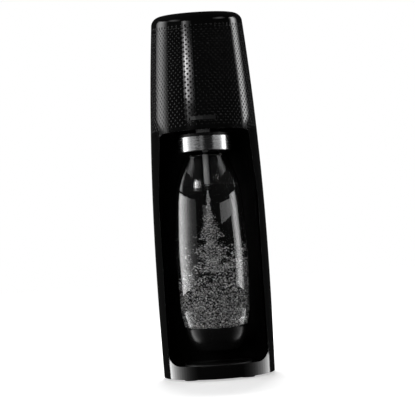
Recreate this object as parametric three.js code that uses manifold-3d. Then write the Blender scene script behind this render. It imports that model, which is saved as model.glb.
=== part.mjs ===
// A slim manual soda carbonator for one one-litre bottle, built as an assembly of separate pieces.
// Millimetres, +Z up. The front faces -Y and +X is to the right of someone standing in front of it.
// The origin is on the table, under the middle of the machine's outer box.
import * as THREE from 'three';
import { mergeVertices } from 'three/addons/utils/BufferGeometryUtils.js';
import Module from 'manifold-3d';

const wasm = await Module();
wasm.setup();

// ---------------------------------------------------------------- clearances
const GAP = 0.3;                    // between pieces that touch
const RUN = 0.5;                    // around pieces that slide or turn
const PIN_PLAY = 0.2;               // around a pivot pin
const PAST = 2;                     // how far a cutter runs past what it cuts

// ---------------------------------------------------------------- outer body
const BELLY_HALF_WIDTH = 65;
const BELLY_HALF_DEPTH = 93.4;
const BELLY_Z = 125;                // height of the widest section
const BASE_TUCK = 1.7;              // how much narrower than the belly the foot of the body is
const RIM_TUCK = 12.1;              // how much narrower than the belly the top rim is
const RIM_RADIUS = 11;              // rounding of the top rim
const TOP_SLOPE = 0.12;             // rise of the top towards the back
const LEAN_START_Z = 330;           // the slope fades out below this height
const WALL = 2.6;
const SPLIT_Y = 34;                 // plane between the front shells and the rear cover
const BODY_SIDES = 48;

// ---------------------------------------------------------------- base and bottle bay
const FOOT_HEIGHT = 2;
const FOOT_RADIUS = 8;
const FOOT_X = 31;
const FOOT_Y = 57;
const FOOT_EDGE = 1;
const FOOT_PEG_RADIUS = 2.5;
const BASE_THICKNESS = 3;
const BAY_FLOOR_Z = 14.2;
const LIP_HEIGHT = 2.3;             // the front skin stands this far above the bay floor
const LINER_WALL = 2.2;
const BAY_BACK_Y = 9;
const BAY_SIDE_BOX = 11;            // from the belly's outside to the bay's side wall
const BAY_CORNER = 35;
const OPENING_REVEAL = 1.5;         // the opening's edge stands this far outside the bay wall
const OPENING_NECK_IN = 5.5;        // how much the opening narrows up to the head
const OPENING_NECK_RUN = 75;        // over this height
const OPENING_CORNER = 13;
const OPENING_TOP_CORNER = 5;
const TRAY_HEIGHT = 2.6;
const TRAY_RIM = 2;
const TRAY_FLOOR = 1;
const TRAY_HALF_WIDTH = 38;
const TRAY_FRONT_ROOM = 12;         // from the tray to the front skin
const TRAY_BACK_ROOM = 6;
const SCREW_RADIUS = 1.6;
const SCREW_HEAD_RADIUS = 3.2;
const SCREW_HEAD_HEIGHT = 1.6;
const BASE_SCREW_LENGTH = 9;
const BOSS_RADIUS = 4.5;
const BASE_SCREW_X = 36;
const BASE_SCREW_Y = [-36, -2];

// ---------------------------------------------------------------- bottle
const BOTTLE_RADIUS = 41.5;
const BOTTLE_HEIGHT = 235;
const BOTTLE_LIFT = 16.8;           // under the bottle's foot
const BOTTLE_WALL = 1;
const BAY_BACK_ROOM = 7.5;          // behind the bottle
const BOTTLE_SIDES = 32;
const MOUTH_RADIUS = 15;
const NECK_RING_RADIUS = 18.5;
const NECK_RING_BELOW_MOUTH = 9;
const NECK_RING_HEIGHT = 2;
const NECK_LENGTH = 14;
const CUP_HEIGHT = 25.5;
const CUP_WALL = 1.5;
const CUP_TAPER = 0.32;             // how much narrower than its rim the cup's foot is
const BOTTLE_STEP = 4;              // the shell steps in by this much to enter its base cup

// ---------------------------------------------------------------- bottle holder
const COLLAR_RADIUS = 30;
const COLLAR_WALL = 1.8;
const COLLAR_HEIGHT = 17;
const COLLAR_OVER_MOUTH = 4;        // the collar's top stands this far above the bottle's mouth
const COLLAR_CHAMFER = 0.6;
const SEAL_HEIGHT = 3;
const CARRIAGE_WALL = 1.6;
const CARRIAGE_PLATE = 3.4;
const ARM_X = 14;
const ARM_THICKNESS = 4;
const HUB_RADIUS = 5.5;
const HUB_HALF_LENGTH = 21.5;
const PIVOT_BEHIND_BOTTLE = 18;
const PIVOT_ABOVE_MOUTH = 34;
const PIVOT_PIN_RADIUS = 3;
const JAW_HEIGHT = 5.4;
const JAW_OPEN = 1.5;
const JAW_SPAN = 150;               // degrees round the neck
const NOZZLE_RADIUS = 3.25;
const NOZZLE_BORE = 1.2;
const NOZZLE_REACH = 53.4;          // from the mouth down to the tip's end
const NOZZLE_TIP = 5.4;
const NOZZLE_POINT = 0.7;           // radius of the tip's end as a share of the tube's
const NOZZLE_BLOCK_RADIUS = 9;
const NOZZLE_BLOCK_HEIGHT = 9.7;
const EAR_THICKNESS = 3;
const BRACKET_HEIGHT = 30;

// ---------------------------------------------------------------- head
const EDGE_OVER_MOUTH = 9;          // the head's lower edge above the bottle's mouth
const HEAD_FLOOR_UP = 1;            // the head's floor sits inside the edge
const HEAD_FLOOR_THICKNESS = 2;
const HEAD_HOLE_ROOM = 4;           // round the collar
const HEAD_HOLE_FRONT = 9.2;        // in front of the collar, where the holder swings out
const HEAD_HOLE_CORNER = 24;
const HEAD_FLOOR_RIM = 3;           // least width of the floor round its hole
const PLATE_HALF_WIDTH = 14.3;
const PLATE_HEIGHT = 4.2;
const PLATE_ABOVE_EDGE = 12.3;
const PLATE_THICKNESS = 0.5;

// ---------------------------------------------------------------- gas cylinder
const CYLINDER_RADIUS = 30;
const CYLINDER_WALL = 3;
const CYLINDER_FOOT_EDGE = 5;
const CYLINDER_LENGTH = 342;        // foot to the top of its valve
const CYLINDER_DROP = 8.5;          // what the cylinder comes down when it is unscrewed
const CYLINDER_FRONT_ROOM = 5.4;
const CYLINDER_SIDES = 32;
const CYLINDER_NECK_RADIUS = 13;
const CYLINDER_VALVE_HEIGHT = 31;
const CYLINDER_VALVE_RADIUS = 10.4;
const CYLINDER_PIN_RADIUS = 1.6;
const CYLINDER_PIN_LENGTH = 17;
const SHOULDER_HEIGHT = 30;
const SHOULDER_LOW = [0.92, 0.6];    // shares of the cylinder's radius and of the shoulder's height
const SHOULDER_HIGH = [0.72, 0.25];
const NECK_HEIGHT = 8;
const CRADLE_FLOOR_TOP = 15.5;
const CRADLE_RIM = 3.5;
const CRADLE_WALL = 3;
const CHASSIS_WALL = 3;
const CHASSIS_HALF_WIDTH = 43;

// ---------------------------------------------------------------- valve and button
const WASHER_HEIGHT = 1.7;
const SOCKET_HEIGHT = 22;
const SOCKET_WALL = 5;
const VALVE_RADIUS = 17;
const VALVE_HEIGHT = 27.7;
const PLUNGER_RADIUS = 3;
const PLUNGER_STEP = 4;             // from the valve body's foot up to the thick part of the plunger
const PLUNGER_COLLAR_RADIUS = 5.4;
const PLUNGER_COLLAR_HEIGHT = 1.5;
const PLUNGER_TIP = 2;
const BRACKET_PLATE = 2;
const BRACKET_HALF_WIDTH = 20;
const PORT_ABOVE_VALVE_FOOT = 15.5;
const PORT_RADIUS = 4;
const PORT_LENGTH = 9;
const HOSE_RADIUS = 3;
const HOSE_BEND = 16;
const LEVER_PIVOT_BEHIND = 15;      // behind the cylinder's axis
const LEVER_PRESS_BEFORE = 28;      // in front of the cylinder's axis
const LEVER_PIVOT_UP = 4.7;         // above the bracket plate
const LEVER_HALF_WIDTH = 7;
const LEVER_THICKNESS = 2.7;
const LEVER_UP = 1.8;               // underside of the lever above its pivot
const LEVER_PIN_RADIUS = 2;
const LEVER_HUB_RADIUS = 4.5;
const LEVER_TO_TOP = 9;             // from the lever's top to the top of the body
const BUTTON_HALF_WIDTH = 26;
const BUTTON_HALF_DEPTH = 34;
const BUTTON_Y = 18;
const BUTTON_WALL = 2.4;
const BUTTON_SKIRT = 7;
const BUTTON_EDGE = 2;
const BUTTON_FRAME_WALL = 2;
const BUTTON_FRAME_HEIGHT = 7;
const STEM_RADIUS = 3;
const DECK_SEAM_BELOW_TOP = 18.5;   // the rear cover ends under the deck here
const LATCH_HALF_WIDTH = 12;
const LATCH_HALF_HEIGHT = 7;
const LATCH_CORNER = 3.5;
const LATCH_BELOW_SEAM = 24;
const LATCH_FLANGE = 2;

// ---------------------------------------------------------------- places that follow from the sizes
const baseTopZ = FOOT_HEIGHT + BASE_THICKNESS;
const bottleFootZ = BAY_FLOOR_Z + BOTTLE_LIFT;
const mouthZ = bottleFootZ + BOTTLE_HEIGHT;
const bottleY = BAY_BACK_Y - BAY_BACK_ROOM - BOTTLE_RADIUS;
const edgeZ = mouthZ + EDGE_OVER_MOUTH;
const headFloorZ = edgeZ + HEAD_FLOOR_UP;
const bayHalfWidth = BELLY_HALF_WIDTH - BAY_SIDE_BOX;
const chassisFrontY = BAY_BACK_Y + LINER_WALL + GAP;
const chassisBackY = chassisFrontY + CHASSIS_WALL;
const cylinderY = chassisBackY + CYLINDER_FRONT_ROOM + CYLINDER_RADIUS;
const cylinderFootZ = CRADLE_FLOOR_TOP + CYLINDER_DROP;
const valveTopZ = cylinderFootZ + CYLINDER_LENGTH;
const cylinderValveZ = valveTopZ - CYLINDER_VALVE_HEIGHT;
const valveBodyZ = valveTopZ + WASHER_HEIGHT + 2 * GAP;
const valveBodyTopZ = valveBodyZ + VALVE_HEIGHT;
const bracketTopZ = valveBodyTopZ + GAP + BRACKET_PLATE;
const leverPivotY = cylinderY + LEVER_PIVOT_BEHIND;
const leverPivotZ = bracketTopZ + LEVER_PIVOT_UP;
const leverTopZ = leverPivotZ + LEVER_UP + LEVER_THICKNESS;
const pressY = cylinderY - LEVER_PRESS_BEFORE;
const topZ = leverTopZ + LEVER_TO_TOP;
const rimZ = topZ - RIM_RADIUS;
const seamZ = topZ - DECK_SEAM_BELOW_TOP;
const coverFootZ = baseTopZ + 2 * GAP;
const portZ = valveBodyZ + PORT_ABOVE_VALVE_FOOT;
const chassisTopZ = valveBodyZ;
const holderPivotY = bottleY + PIVOT_BEHIND_BOTTLE;
const holderPivotZ = mouthZ + PIVOT_ABOVE_MOUTH;
const collarTopZ = mouthZ + COLLAR_OVER_MOUTH;
const carriageOuter = COLLAR_RADIUS - COLLAR_WALL - GAP;
const carriageInner = carriageOuter - CARRIAGE_WALL;

// ---------------------------------------------------------------- solids and geometry
const vec = (x, y) => new THREE.Vector2(x, y);

function toSolid(geometry) {
  const bare = geometry.clone();
  bare.deleteAttribute('normal');
  bare.deleteAttribute('uv');
  const merged = mergeVertices(bare, 1e-4);
  const index = merged.index.array;
  const faces = [];
  for (let i = 0; i < index.length; i += 3) {
    const [a, b, c] = [index[i], index[i + 1], index[i + 2]];
    if (a !== b && b !== c && c !== a) faces.push(a, b, c);
  }
  const mesh = new wasm.Mesh({
    numProp: 3,
    vertProperties: new Float32Array(merged.attributes.position.array),
    triVerts: new Uint32Array(faces),
  });
  return new wasm.Manifold(mesh);
}

function toGeometry(solid) {
  const mesh = solid.getMesh();
  const geometry = new THREE.BufferGeometry();
  geometry.setAttribute('position', new THREE.BufferAttribute(mesh.vertProperties, 3));
  geometry.setIndex(new THREE.BufferAttribute(mesh.triVerts, 1));
  geometry.computeVertexNormals();
  return geometry;
}

// Revolve a profile of (radius, height) points round Z. Points run up the outside.
function lathe(points, sides) {
  return new THREE.LatheGeometry(points, sides).rotateX(Math.PI / 2);
}

function ring(inner, outer, from, to, sides, chamfer = 0) {
  const points = [
    vec(inner, from),
    vec(outer - chamfer, from),
    vec(outer, from + chamfer),
    vec(outer, to - chamfer),
    vec(outer - chamfer, to),
    vec(inner, to),
    vec(inner, from),
  ];
  const kept = points.filter((p, i) => i === 0 || p.distanceTo(points[i - 1]) > 0);
  return lathe(kept, sides);
}

function disc(radius, from, to, sides) {
  return lathe([vec(0, from), vec(radius, from), vec(radius, to), vec(0, to)], sides);
}

function prismZ(shape, from, to, curveSegments = 8) {
  const options = { depth: to - from, bevelEnabled: false, curveSegments };
  return new THREE.ExtrudeGeometry(shape, options).translate(0, 0, from);
}

// A shape drawn in the front view (x, z), run from one y to another.
function prismY(shape, from, to, curveSegments = 8) {
  const options = { depth: to - from, bevelEnabled: false, curveSegments };
  return new THREE.ExtrudeGeometry(shape, options).rotateX(Math.PI / 2).translate(0, to, 0);
}

// A shape drawn in the side view (y, z), run from one x to another.
function prismX(shape, from, to, curveSegments = 8) {
  const options = { depth: to - from, bevelEnabled: false, curveSegments };
  const turn = new THREE.Matrix4().makeBasis(
    new THREE.Vector3(0, 1, 0), new THREE.Vector3(0, 0, 1), new THREE.Vector3(1, 0, 0));
  return new THREE.ExtrudeGeometry(shape, options).applyMatrix4(turn).translate(from, 0, 0);
}

function box(fromX, toX, fromY, toY, fromZ, toZ) {
  return new THREE.BoxGeometry(toX - fromX, toY - fromY, toZ - fromZ)
    .translate((fromX + toX) / 2, (fromY + toY) / 2, (fromZ + toZ) / 2);
}

function rodX(radius, from, to, y, z, sides = 20) {
  return disc(radius, from, to, sides).rotateY(Math.PI / 2).translate(0, y, z);
}

function rodY(radius, from, to, x, z, sides = 20) {
  return disc(radius, -to, -from, sides).rotateX(Math.PI / 2).translate(x, 0, z);
}

function roundRect(halfWidth, halfHeight, radius, centreX = 0, centreY = 0) {
  const shape = new THREE.Shape();
  const corners = [[1, -1, -90], [1, 1, 0], [-1, 1, 90], [-1, -1, 180]];
  for (const [sx, sy, start] of corners) {
    const from = THREE.MathUtils.degToRad(start);
    shape.absarc(centreX + sx * (halfWidth - radius), centreY + sy * (halfHeight - radius),
      radius, from, from + Math.PI / 2);
  }
  shape.closePath();
  return shape;
}

function polygon(points) {
  return new THREE.Shape(points.map(([x, y]) => vec(x, y)));
}

function cut(solid, ...tools) {
  return tools.reduce((left, tool) => left.subtract(toSolid(tool)), solid);
}

// ---------------------------------------------------------------- the body's outline
function halfWidthAt(z) {
  if (z < BELLY_Z) return BELLY_HALF_WIDTH - BASE_TUCK * ((BELLY_Z - z) / BELLY_Z) ** 2;
  return BELLY_HALF_WIDTH - RIM_TUCK * ((z - BELLY_Z) / (rimZ - BELLY_Z)) ** 2;
}

function elliptic(points, inset) {
  const stretch = (BELLY_HALF_DEPTH - inset) / (BELLY_HALF_WIDTH - inset);
  return toSolid(lathe(points, BODY_SIDES).scale(1, stretch, 1));
}

function sideRows(inset, from, to, rows) {
  const points = [];
  for (let i = 0; i <= rows; i += 1) {
    const z = from + (to - from) * i / rows;
    points.push(vec(halfWidthAt(z) - inset, z));
  }
  return points;
}

// The body's solid between two heights, its walls moved in by an inset.
function bodySlice(inset, from, to, rows = 1) {
  return elliptic([vec(0, from), ...sideRows(inset, from, to, rows), vec(0, to)], inset);
}

// The same, closed by the rounded rim and the top.
function bodyTop(inset, from, rows = 4) {
  const points = [vec(0, from), ...sideRows(inset, from, rimZ, rows)];
  const steps = 4;
  const centre = halfWidthAt(rimZ) - RIM_RADIUS;
  const radius = RIM_RADIUS - inset;
  for (let i = 1; i <= steps; i += 1) {
    const angle = Math.PI / 2 * i / steps;
    points.push(vec(centre + radius * Math.cos(angle), rimZ + radius * Math.sin(angle)));
  }
  return elliptic([...points, vec(0, topZ - inset)], inset);
}

// Tilts the top of the head, fading out down the sides.
function lean(solid) {
  return solid.warp((point) => {
    const t = THREE.MathUtils.smoothstep(point[2], LEAN_START_Z, topZ);
    point[2] += TOP_SLOPE * point[1] * t;
  });
}

function backHalf(from) {
  return box(-BELLY_HALF_WIDTH - PAST, BELLY_HALF_WIDTH + PAST, from, BELLY_HALF_DEPTH + PAST,
    -PAST, topZ + PAST);
}

// ---------------------------------------------------------------- base
function footShape() {
  return lathe([
    vec(0, 0),
    vec(FOOT_RADIUS - FOOT_EDGE, 0),
    vec(FOOT_RADIUS, FOOT_EDGE),
    vec(FOOT_RADIUS, FOOT_HEIGHT - GAP),
    vec(FOOT_PEG_RADIUS, FOOT_HEIGHT - GAP),
    vec(FOOT_PEG_RADIUS, baseTopZ - GAP),
    vec(0, baseTopZ - GAP),
  ], 16);
}

const footPlaces = {
  foot_front_left: [-FOOT_X, -FOOT_Y],
  foot_front_right: [FOOT_X, -FOOT_Y],
  foot_rear_left: [-FOOT_X, FOOT_Y],
  foot_rear_right: [FOOT_X, FOOT_Y],
};

const baseScrewPlaces = {
  base_screw_front_left: [-BASE_SCREW_X, BASE_SCREW_Y[0]],
  base_screw_front_right: [BASE_SCREW_X, BASE_SCREW_Y[0]],
  base_screw_rear_left: [-BASE_SCREW_X, BASE_SCREW_Y[1]],
  base_screw_rear_right: [BASE_SCREW_X, BASE_SCREW_Y[1]],
};

function basePlate() {
  const inner = bodySlice(WALL + GAP, FOOT_HEIGHT, baseTopZ);
  const rear = bodySlice(0, FOOT_HEIGHT, baseTopZ).intersect(toSolid(backHalf(SPLIT_Y + GAP)));
  const holes = [];
  for (const [x, y] of Object.values(footPlaces)) {
    holes.push(disc(FOOT_PEG_RADIUS + GAP, 0, baseTopZ + PAST, 16).translate(x, y, 0));
  }
  for (const [x, y] of Object.values(baseScrewPlaces)) {
    const headTop = FOOT_HEIGHT + SCREW_HEAD_HEIGHT + GAP;
    holes.push(disc(SCREW_HEAD_RADIUS + GAP, 0, headTop, 16).translate(x, y, 0));
    holes.push(disc(SCREW_RADIUS + GAP, headTop - GAP, baseTopZ + PAST, 12).translate(x, y, 0));
  }
  return toGeometry(cut(inner.add(rear), ...holes));
}

// A pan-head screw standing on its head, with its shank up.
function screw(length) {
  return lathe([
    vec(0, 0),
    vec(SCREW_HEAD_RADIUS, 0),
    vec(SCREW_HEAD_RADIUS, SCREW_HEAD_HEIGHT),
    vec(SCREW_RADIUS, SCREW_HEAD_HEIGHT),
    vec(SCREW_RADIUS, length),
    vec(0, length),
  ], 12);
}

// ---------------------------------------------------------------- tower
// The bottle bay's opening in the front view.
function openingShape() {
  const half = bayHalfWidth + OPENING_REVEAL;
  const foot = BAY_FLOOR_Z + LIP_HEIGHT;
  const neck = half - OPENING_NECK_IN;
  const neckZ = edgeZ - OPENING_NECK_RUN;
  const roundZ = edgeZ - OPENING_TOP_CORNER;
  const shape = new THREE.Shape();
  shape.moveTo(-half + OPENING_CORNER, foot);
  shape.lineTo(half - OPENING_CORNER, foot);
  shape.absarc(half - OPENING_CORNER, foot + OPENING_CORNER, OPENING_CORNER, -Math.PI / 2, 0);
  shape.lineTo(half, neckZ);
  shape.lineTo(neck, roundZ);
  shape.absarc(neck - OPENING_TOP_CORNER, roundZ, OPENING_TOP_CORNER, 0, Math.PI / 2);
  shape.lineTo(-neck + OPENING_TOP_CORNER, edgeZ);
  shape.absarc(-neck + OPENING_TOP_CORNER, roundZ, OPENING_TOP_CORNER, Math.PI / 2, Math.PI);
  shape.lineTo(-half, neckZ);
  shape.absarc(-half + OPENING_CORNER, foot + OPENING_CORNER, OPENING_CORNER, Math.PI, 1.5 * Math.PI);
  return shape;
}

function frontHousing() {
  const outer = bodySlice(0, FOOT_HEIGHT, edgeZ - GAP, 6);
  const inner = bodySlice(WALL, FOOT_HEIGHT - PAST, edgeZ + PAST, 6);
  const opening = prismY(openingShape(), -BELLY_HALF_DEPTH - PAST, BAY_BACK_Y, 6);
  return toGeometry(cut(outer.subtract(inner), opening, backHalf(SPLIT_Y)));
}

// The bay's plan, open to the front.
function bayPlan(grow) {
  const half = bayHalfWidth + grow;
  const back = BAY_BACK_Y + grow;
  const radius = BAY_CORNER + grow;
  const front = -BELLY_HALF_DEPTH - PAST;
  const shape = new THREE.Shape();
  shape.moveTo(-half, front);
  shape.lineTo(half, front);
  shape.absarc(half - radius, back - radius, radius, 0, Math.PI / 2);
  shape.absarc(-half + radius, back - radius, radius, Math.PI / 2, Math.PI);
  return shape;
}

function bayLiner() {
  const foot = BAY_FLOOR_Z - LINER_WALL;
  const top = headFloorZ - GAP;
  const fit = bodySlice(WALL + GAP, FOOT_HEIGHT, top + PAST, 6);
  const block = toSolid(prismZ(bayPlan(LINER_WALL), foot, top)).intersect(fit);
  let liner = cut(block, prismZ(bayPlan(0), BAY_FLOOR_Z, top + PAST));
  for (const [x, y] of Object.values(baseScrewPlaces)) {
    liner = liner.add(toSolid(disc(BOSS_RADIUS, baseTopZ + GAP, foot + GAP, 16).translate(x, y, 0)));
    const hole = disc(SCREW_RADIUS + GAP, 0, FOOT_HEIGHT + BASE_SCREW_LENGTH + GAP, 12);
    liner = cut(liner, hole.translate(x, y, 0));
  }
  return toGeometry(liner);
}

// A shallow pan, straight at the back and following the front skin.
function trayPlan(inset) {
  const half = TRAY_HALF_WIDTH - inset;
  const back = BAY_BACK_Y - TRAY_BACK_ROOM - inset;
  const front = -BELLY_HALF_DEPTH + TRAY_FRONT_ROOM + inset;
  const shape = new THREE.Shape();
  const depth = bottleY - front;
  shape.moveTo(half, bottleY);
  shape.absarc(half - BAY_CORNER / 2, back - BAY_CORNER / 2, BAY_CORNER / 2, 0, Math.PI / 2);
  shape.absarc(-half + BAY_CORNER / 2, back - BAY_CORNER / 2, BAY_CORNER / 2, Math.PI / 2, Math.PI);
  shape.absellipse(0, bottleY, half, depth, Math.PI, 2 * Math.PI);
  return shape;
}

function dripTray() {
  const foot = BAY_FLOOR_Z + GAP;
  const pan = toSolid(prismZ(trayPlan(0), foot, foot + TRAY_HEIGHT));
  return toGeometry(cut(pan, prismZ(trayPlan(TRAY_RIM), foot + TRAY_FLOOR, foot + TRAY_HEIGHT + PAST)));
}

function chassis() {
  const rail = CHASSIS_HALF_WIDTH;
  const plan = polygon([
    [-rail, chassisFrontY], [rail, chassisFrontY], [rail, SPLIT_Y - GAP],
    [rail - CHASSIS_WALL, SPLIT_Y - GAP], [rail - CHASSIS_WALL, chassisBackY],
    [-rail + CHASSIS_WALL, chassisBackY], [-rail + CHASSIS_WALL, SPLIT_Y - GAP], [-rail, SPLIT_Y - GAP],
  ]);
  const holes = bracketScrewPlaces.map(([x, z]) =>
    rodY(SCREW_RADIUS + GAP, chassisFrontY - PAST, chassisBackY + PAST, x, z, 12));
  return toGeometry(cut(toSolid(prismZ(plan, baseTopZ + GAP, chassisTopZ)), ...holes));
}

// ---------------------------------------------------------------- rear cover
function latchShape(grow) {
  return roundRect(LATCH_HALF_WIDTH + grow, LATCH_HALF_HEIGHT + grow, LATCH_CORNER + grow,
    0, seamZ - LATCH_BELOW_SEAM);
}

function rearCover() {
  const outer = bodySlice(0, coverFootZ, seamZ - GAP, 9);
  const inner = bodySlice(WALL, coverFootZ - PAST, seamZ + PAST, 9);
  const front = box(-BELLY_HALF_WIDTH - PAST, BELLY_HALF_WIDTH + PAST, -BELLY_HALF_DEPTH - PAST,
    SPLIT_Y + GAP, -PAST, topZ + PAST);
  const hole = prismY(latchShape(GAP), SPLIT_Y + GAP, BELLY_HALF_DEPTH + PAST, 3);
  return toGeometry(lean(cut(outer.subtract(inner), front, hole)));
}

function coverLatch() {
  const low = seamZ - LATCH_BELOW_SEAM - LATCH_HALF_HEIGHT - 2 * LATCH_FLANGE;
  const high = low + 2 * LATCH_HALF_HEIGHT + 4 * LATCH_FLANGE;
  const behind = WALL + GAP + LATCH_FLANGE;
  const key = prismY(latchShape(0), SPLIT_Y + GAP, BELLY_HALF_DEPTH + PAST, 3);
  const flange = prismY(latchShape(LATCH_FLANGE), SPLIT_Y + GAP, BELLY_HALF_DEPTH + PAST, 3);
  const core = bodySlice(behind, low - PAST, high + PAST, 1);
  const front = bodySlice(0, low, high, 1).intersect(toSolid(key));
  const back = bodySlice(WALL + GAP, low, high, 1).intersect(toSolid(flange));
  return toGeometry(lean(front.add(back).subtract(core)));
}

// ---------------------------------------------------------------- head
function buttonPlan(grow) {
  const shape = new THREE.Shape();
  shape.absellipse(0, BUTTON_Y, BUTTON_HALF_WIDTH + grow, BUTTON_HALF_DEPTH + grow, 0, 2 * Math.PI);
  return shape;
}

function headCap() {
  const shell = bodyTop(0, edgeZ).subtract(bodyTop(WALL, edgeZ - PAST));
  const rear = box(-BELLY_HALF_WIDTH - PAST, BELLY_HALF_WIDTH + PAST, SPLIT_Y, BELLY_HALF_DEPTH + PAST,
    edgeZ - PAST, seamZ);
  const hole = prismZ(buttonPlan(RUN), seamZ, topZ + PAST, 16);
  return toGeometry(lean(cut(shell, rear, hole)));
}

function headFloor() {
  const top = headFloorZ + HEAD_FLOOR_THICKNESS;
  const halfHole = COLLAR_RADIUS + HEAD_HOLE_ROOM;
  const backHole = bottleY + COLLAR_RADIUS + HEAD_HOLE_ROOM;
  const frontHole = bottleY - COLLAR_RADIUS - HEAD_HOLE_FRONT;
  const middle = (backHole + frontHole) / 2;
  const plan = roundRect(halfHole, (backHole - frontHole) / 2, HEAD_HOLE_CORNER, 0, middle);
  const room = bodySlice(WALL + GAP + HEAD_FLOOR_RIM, headFloorZ - PAST, top + PAST);
  const hole = toSolid(prismZ(plan, headFloorZ - PAST, top + PAST)).intersect(room);
  const plate = bodySlice(WALL + GAP, headFloorZ, top).subtract(hole);
  return toGeometry(cut(plate, backHalf(BAY_BACK_Y + LINER_WALL)));
}

function namePlate() {
  const low = edgeZ + PLATE_ABOVE_EDGE - PLATE_HEIGHT / 2;
  const skin = bodySlice(-GAP - PLATE_THICKNESS, low, low + PLATE_HEIGHT)
    .subtract(bodySlice(-GAP, low - PAST, low + PLATE_HEIGHT + PAST));
  const outline = roundRect(PLATE_HALF_WIDTH, PLATE_HEIGHT / 2, PLATE_HEIGHT / 3, 0,
    low + PLATE_HEIGHT / 2);
  return toGeometry(skin.intersect(toSolid(prismY(outline, -BELLY_HALF_DEPTH - PAST, 0, 3))));
}

function buttonFrame() {
  const top = topZ - WALL - GAP;
  const block = toSolid(prismZ(buttonPlan(RUN + BUTTON_FRAME_WALL), top - BUTTON_FRAME_HEIGHT, top, 16));
  const hole = prismZ(buttonPlan(RUN), top - BUTTON_FRAME_HEIGHT - PAST, top + PAST, 16);
  return toGeometry(lean(cut(block, hole)));
}

function carbonatingButton() {
  const stretch = BUTTON_HALF_DEPTH / BUTTON_HALF_WIDTH;
  const foot = topZ - BUTTON_SKIRT;
  const shape = (half, low, high, edge) => toSolid(lathe([
    vec(0, low),
    vec(half, low),
    vec(half, high - edge),
    vec(half - edge * 0.3, high - edge * 0.3),
    vec(half - edge, high),
    vec(0, high),
  ], BODY_SIDES).scale(1, stretch, 1).translate(0, BUTTON_Y, 0));
  const inside = shape(BUTTON_HALF_WIDTH - BUTTON_WALL, foot - PAST, topZ - BUTTON_WALL, BUTTON_EDGE / 2);
  const cap = lean(shape(BUTTON_HALF_WIDTH, foot, topZ, BUTTON_EDGE).subtract(inside));
  const tipZ = leverTopZ + GAP;
  const stem = lathe([
    vec(0, tipZ),
    vec(STEM_RADIUS / 2, tipZ + GAP),
    vec(STEM_RADIUS, tipZ + 4 * GAP),
    vec(STEM_RADIUS, topZ),
    vec(0, topZ),
  ], 16).translate(0, pressY, 0);
  return toGeometry(cap.add(toSolid(stem)));
}

// ---------------------------------------------------------------- bottle
// Half widths of the bottle as shares of its largest, and heights as shares of its foot-to-neck height.
const BOTTLE_OUTLINE = [
  [0.87, 0.125],
  [0.95, 0.2],
  [0.99, 0.38],
  [1, 0.5],
  [0.97, 0.63],
  [0.9, 0.8],
  [0.79, 0.89],
  [0.58, 0.985],
];

function bottleSide(inset) {
  const neckFoot = BOTTLE_HEIGHT - NECK_LENGTH;
  const points = BOTTLE_OUTLINE.map(([r, z]) => vec(r * BOTTLE_RADIUS - inset, z * neckFoot));
  return new THREE.SplineCurve(points).getPoints(9);
}

function bottleShell() {
  const neckFoot = BOTTLE_HEIGHT - NECK_LENGTH;
  const ringTop = BOTTLE_HEIGHT - NECK_RING_BELOW_MOUTH;
  const ringFoot = ringTop - NECK_RING_HEIGHT;
  const outer = [
    ...cupPocket(GAP),
    ...bottleSide(0),
    vec(MOUTH_RADIUS + BOTTLE_WALL / 2, neckFoot),
    vec(MOUTH_RADIUS + BOTTLE_WALL / 2, ringFoot),
    vec(NECK_RING_RADIUS, ringFoot),
    vec(NECK_RING_RADIUS, ringTop),
    vec(MOUTH_RADIUS, ringTop),
    vec(MOUTH_RADIUS, BOTTLE_HEIGHT),
  ];
  const bore = MOUTH_RADIUS - 2 * BOTTLE_WALL;
  const inner = [
    ...cupPocket(GAP + BOTTLE_WALL),
    ...bottleSide(BOTTLE_WALL),
    vec(bore, neckFoot),
    vec(bore, BOTTLE_HEIGHT),
  ];
  return lathe([...outer, ...inner.reverse()], BOTTLE_SIDES);
}

// Radius of the base cup's outside, by the share of its height.
function cupRadius(t) {
  const wide = BOTTLE_RADIUS * BOTTLE_OUTLINE[0][0] - BOTTLE_STEP / 2;
  return wide - wide * CUP_TAPER * (1 - t) ** 2;
}

// The cup's inside, moved in by an inset, from the axis up to its rim.
function cupPocket(inset) {
  const rows = [0.3, 0.6, 1];
  const side = rows.map((t) => vec(cupRadius(t) - CUP_WALL - inset, CUP_HEIGHT * t));
  const floor = CUP_WALL + inset;
  return [vec(0, floor), vec(cupRadius(0) - CUP_WALL - inset, floor), ...side];
}

function bottleBase() {
  const rows = [0, 0.15, 0.3, 0.6, 1];
  const outer = rows.map((t) => vec(cupRadius(t), CUP_HEIGHT * t));
  return lathe([vec(0, 0), ...outer, ...cupPocket(0).reverse()], BOTTLE_SIDES);
}

// ---------------------------------------------------------------- bottle holder, drawn round the bottle's axis
function collarRing() {
  const foot = collarTopZ - COLLAR_HEIGHT;
  return ring(COLLAR_RADIUS - COLLAR_WALL, COLLAR_RADIUS, foot, collarTopZ, BODY_SIDES, COLLAR_CHAMFER);
}

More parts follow.
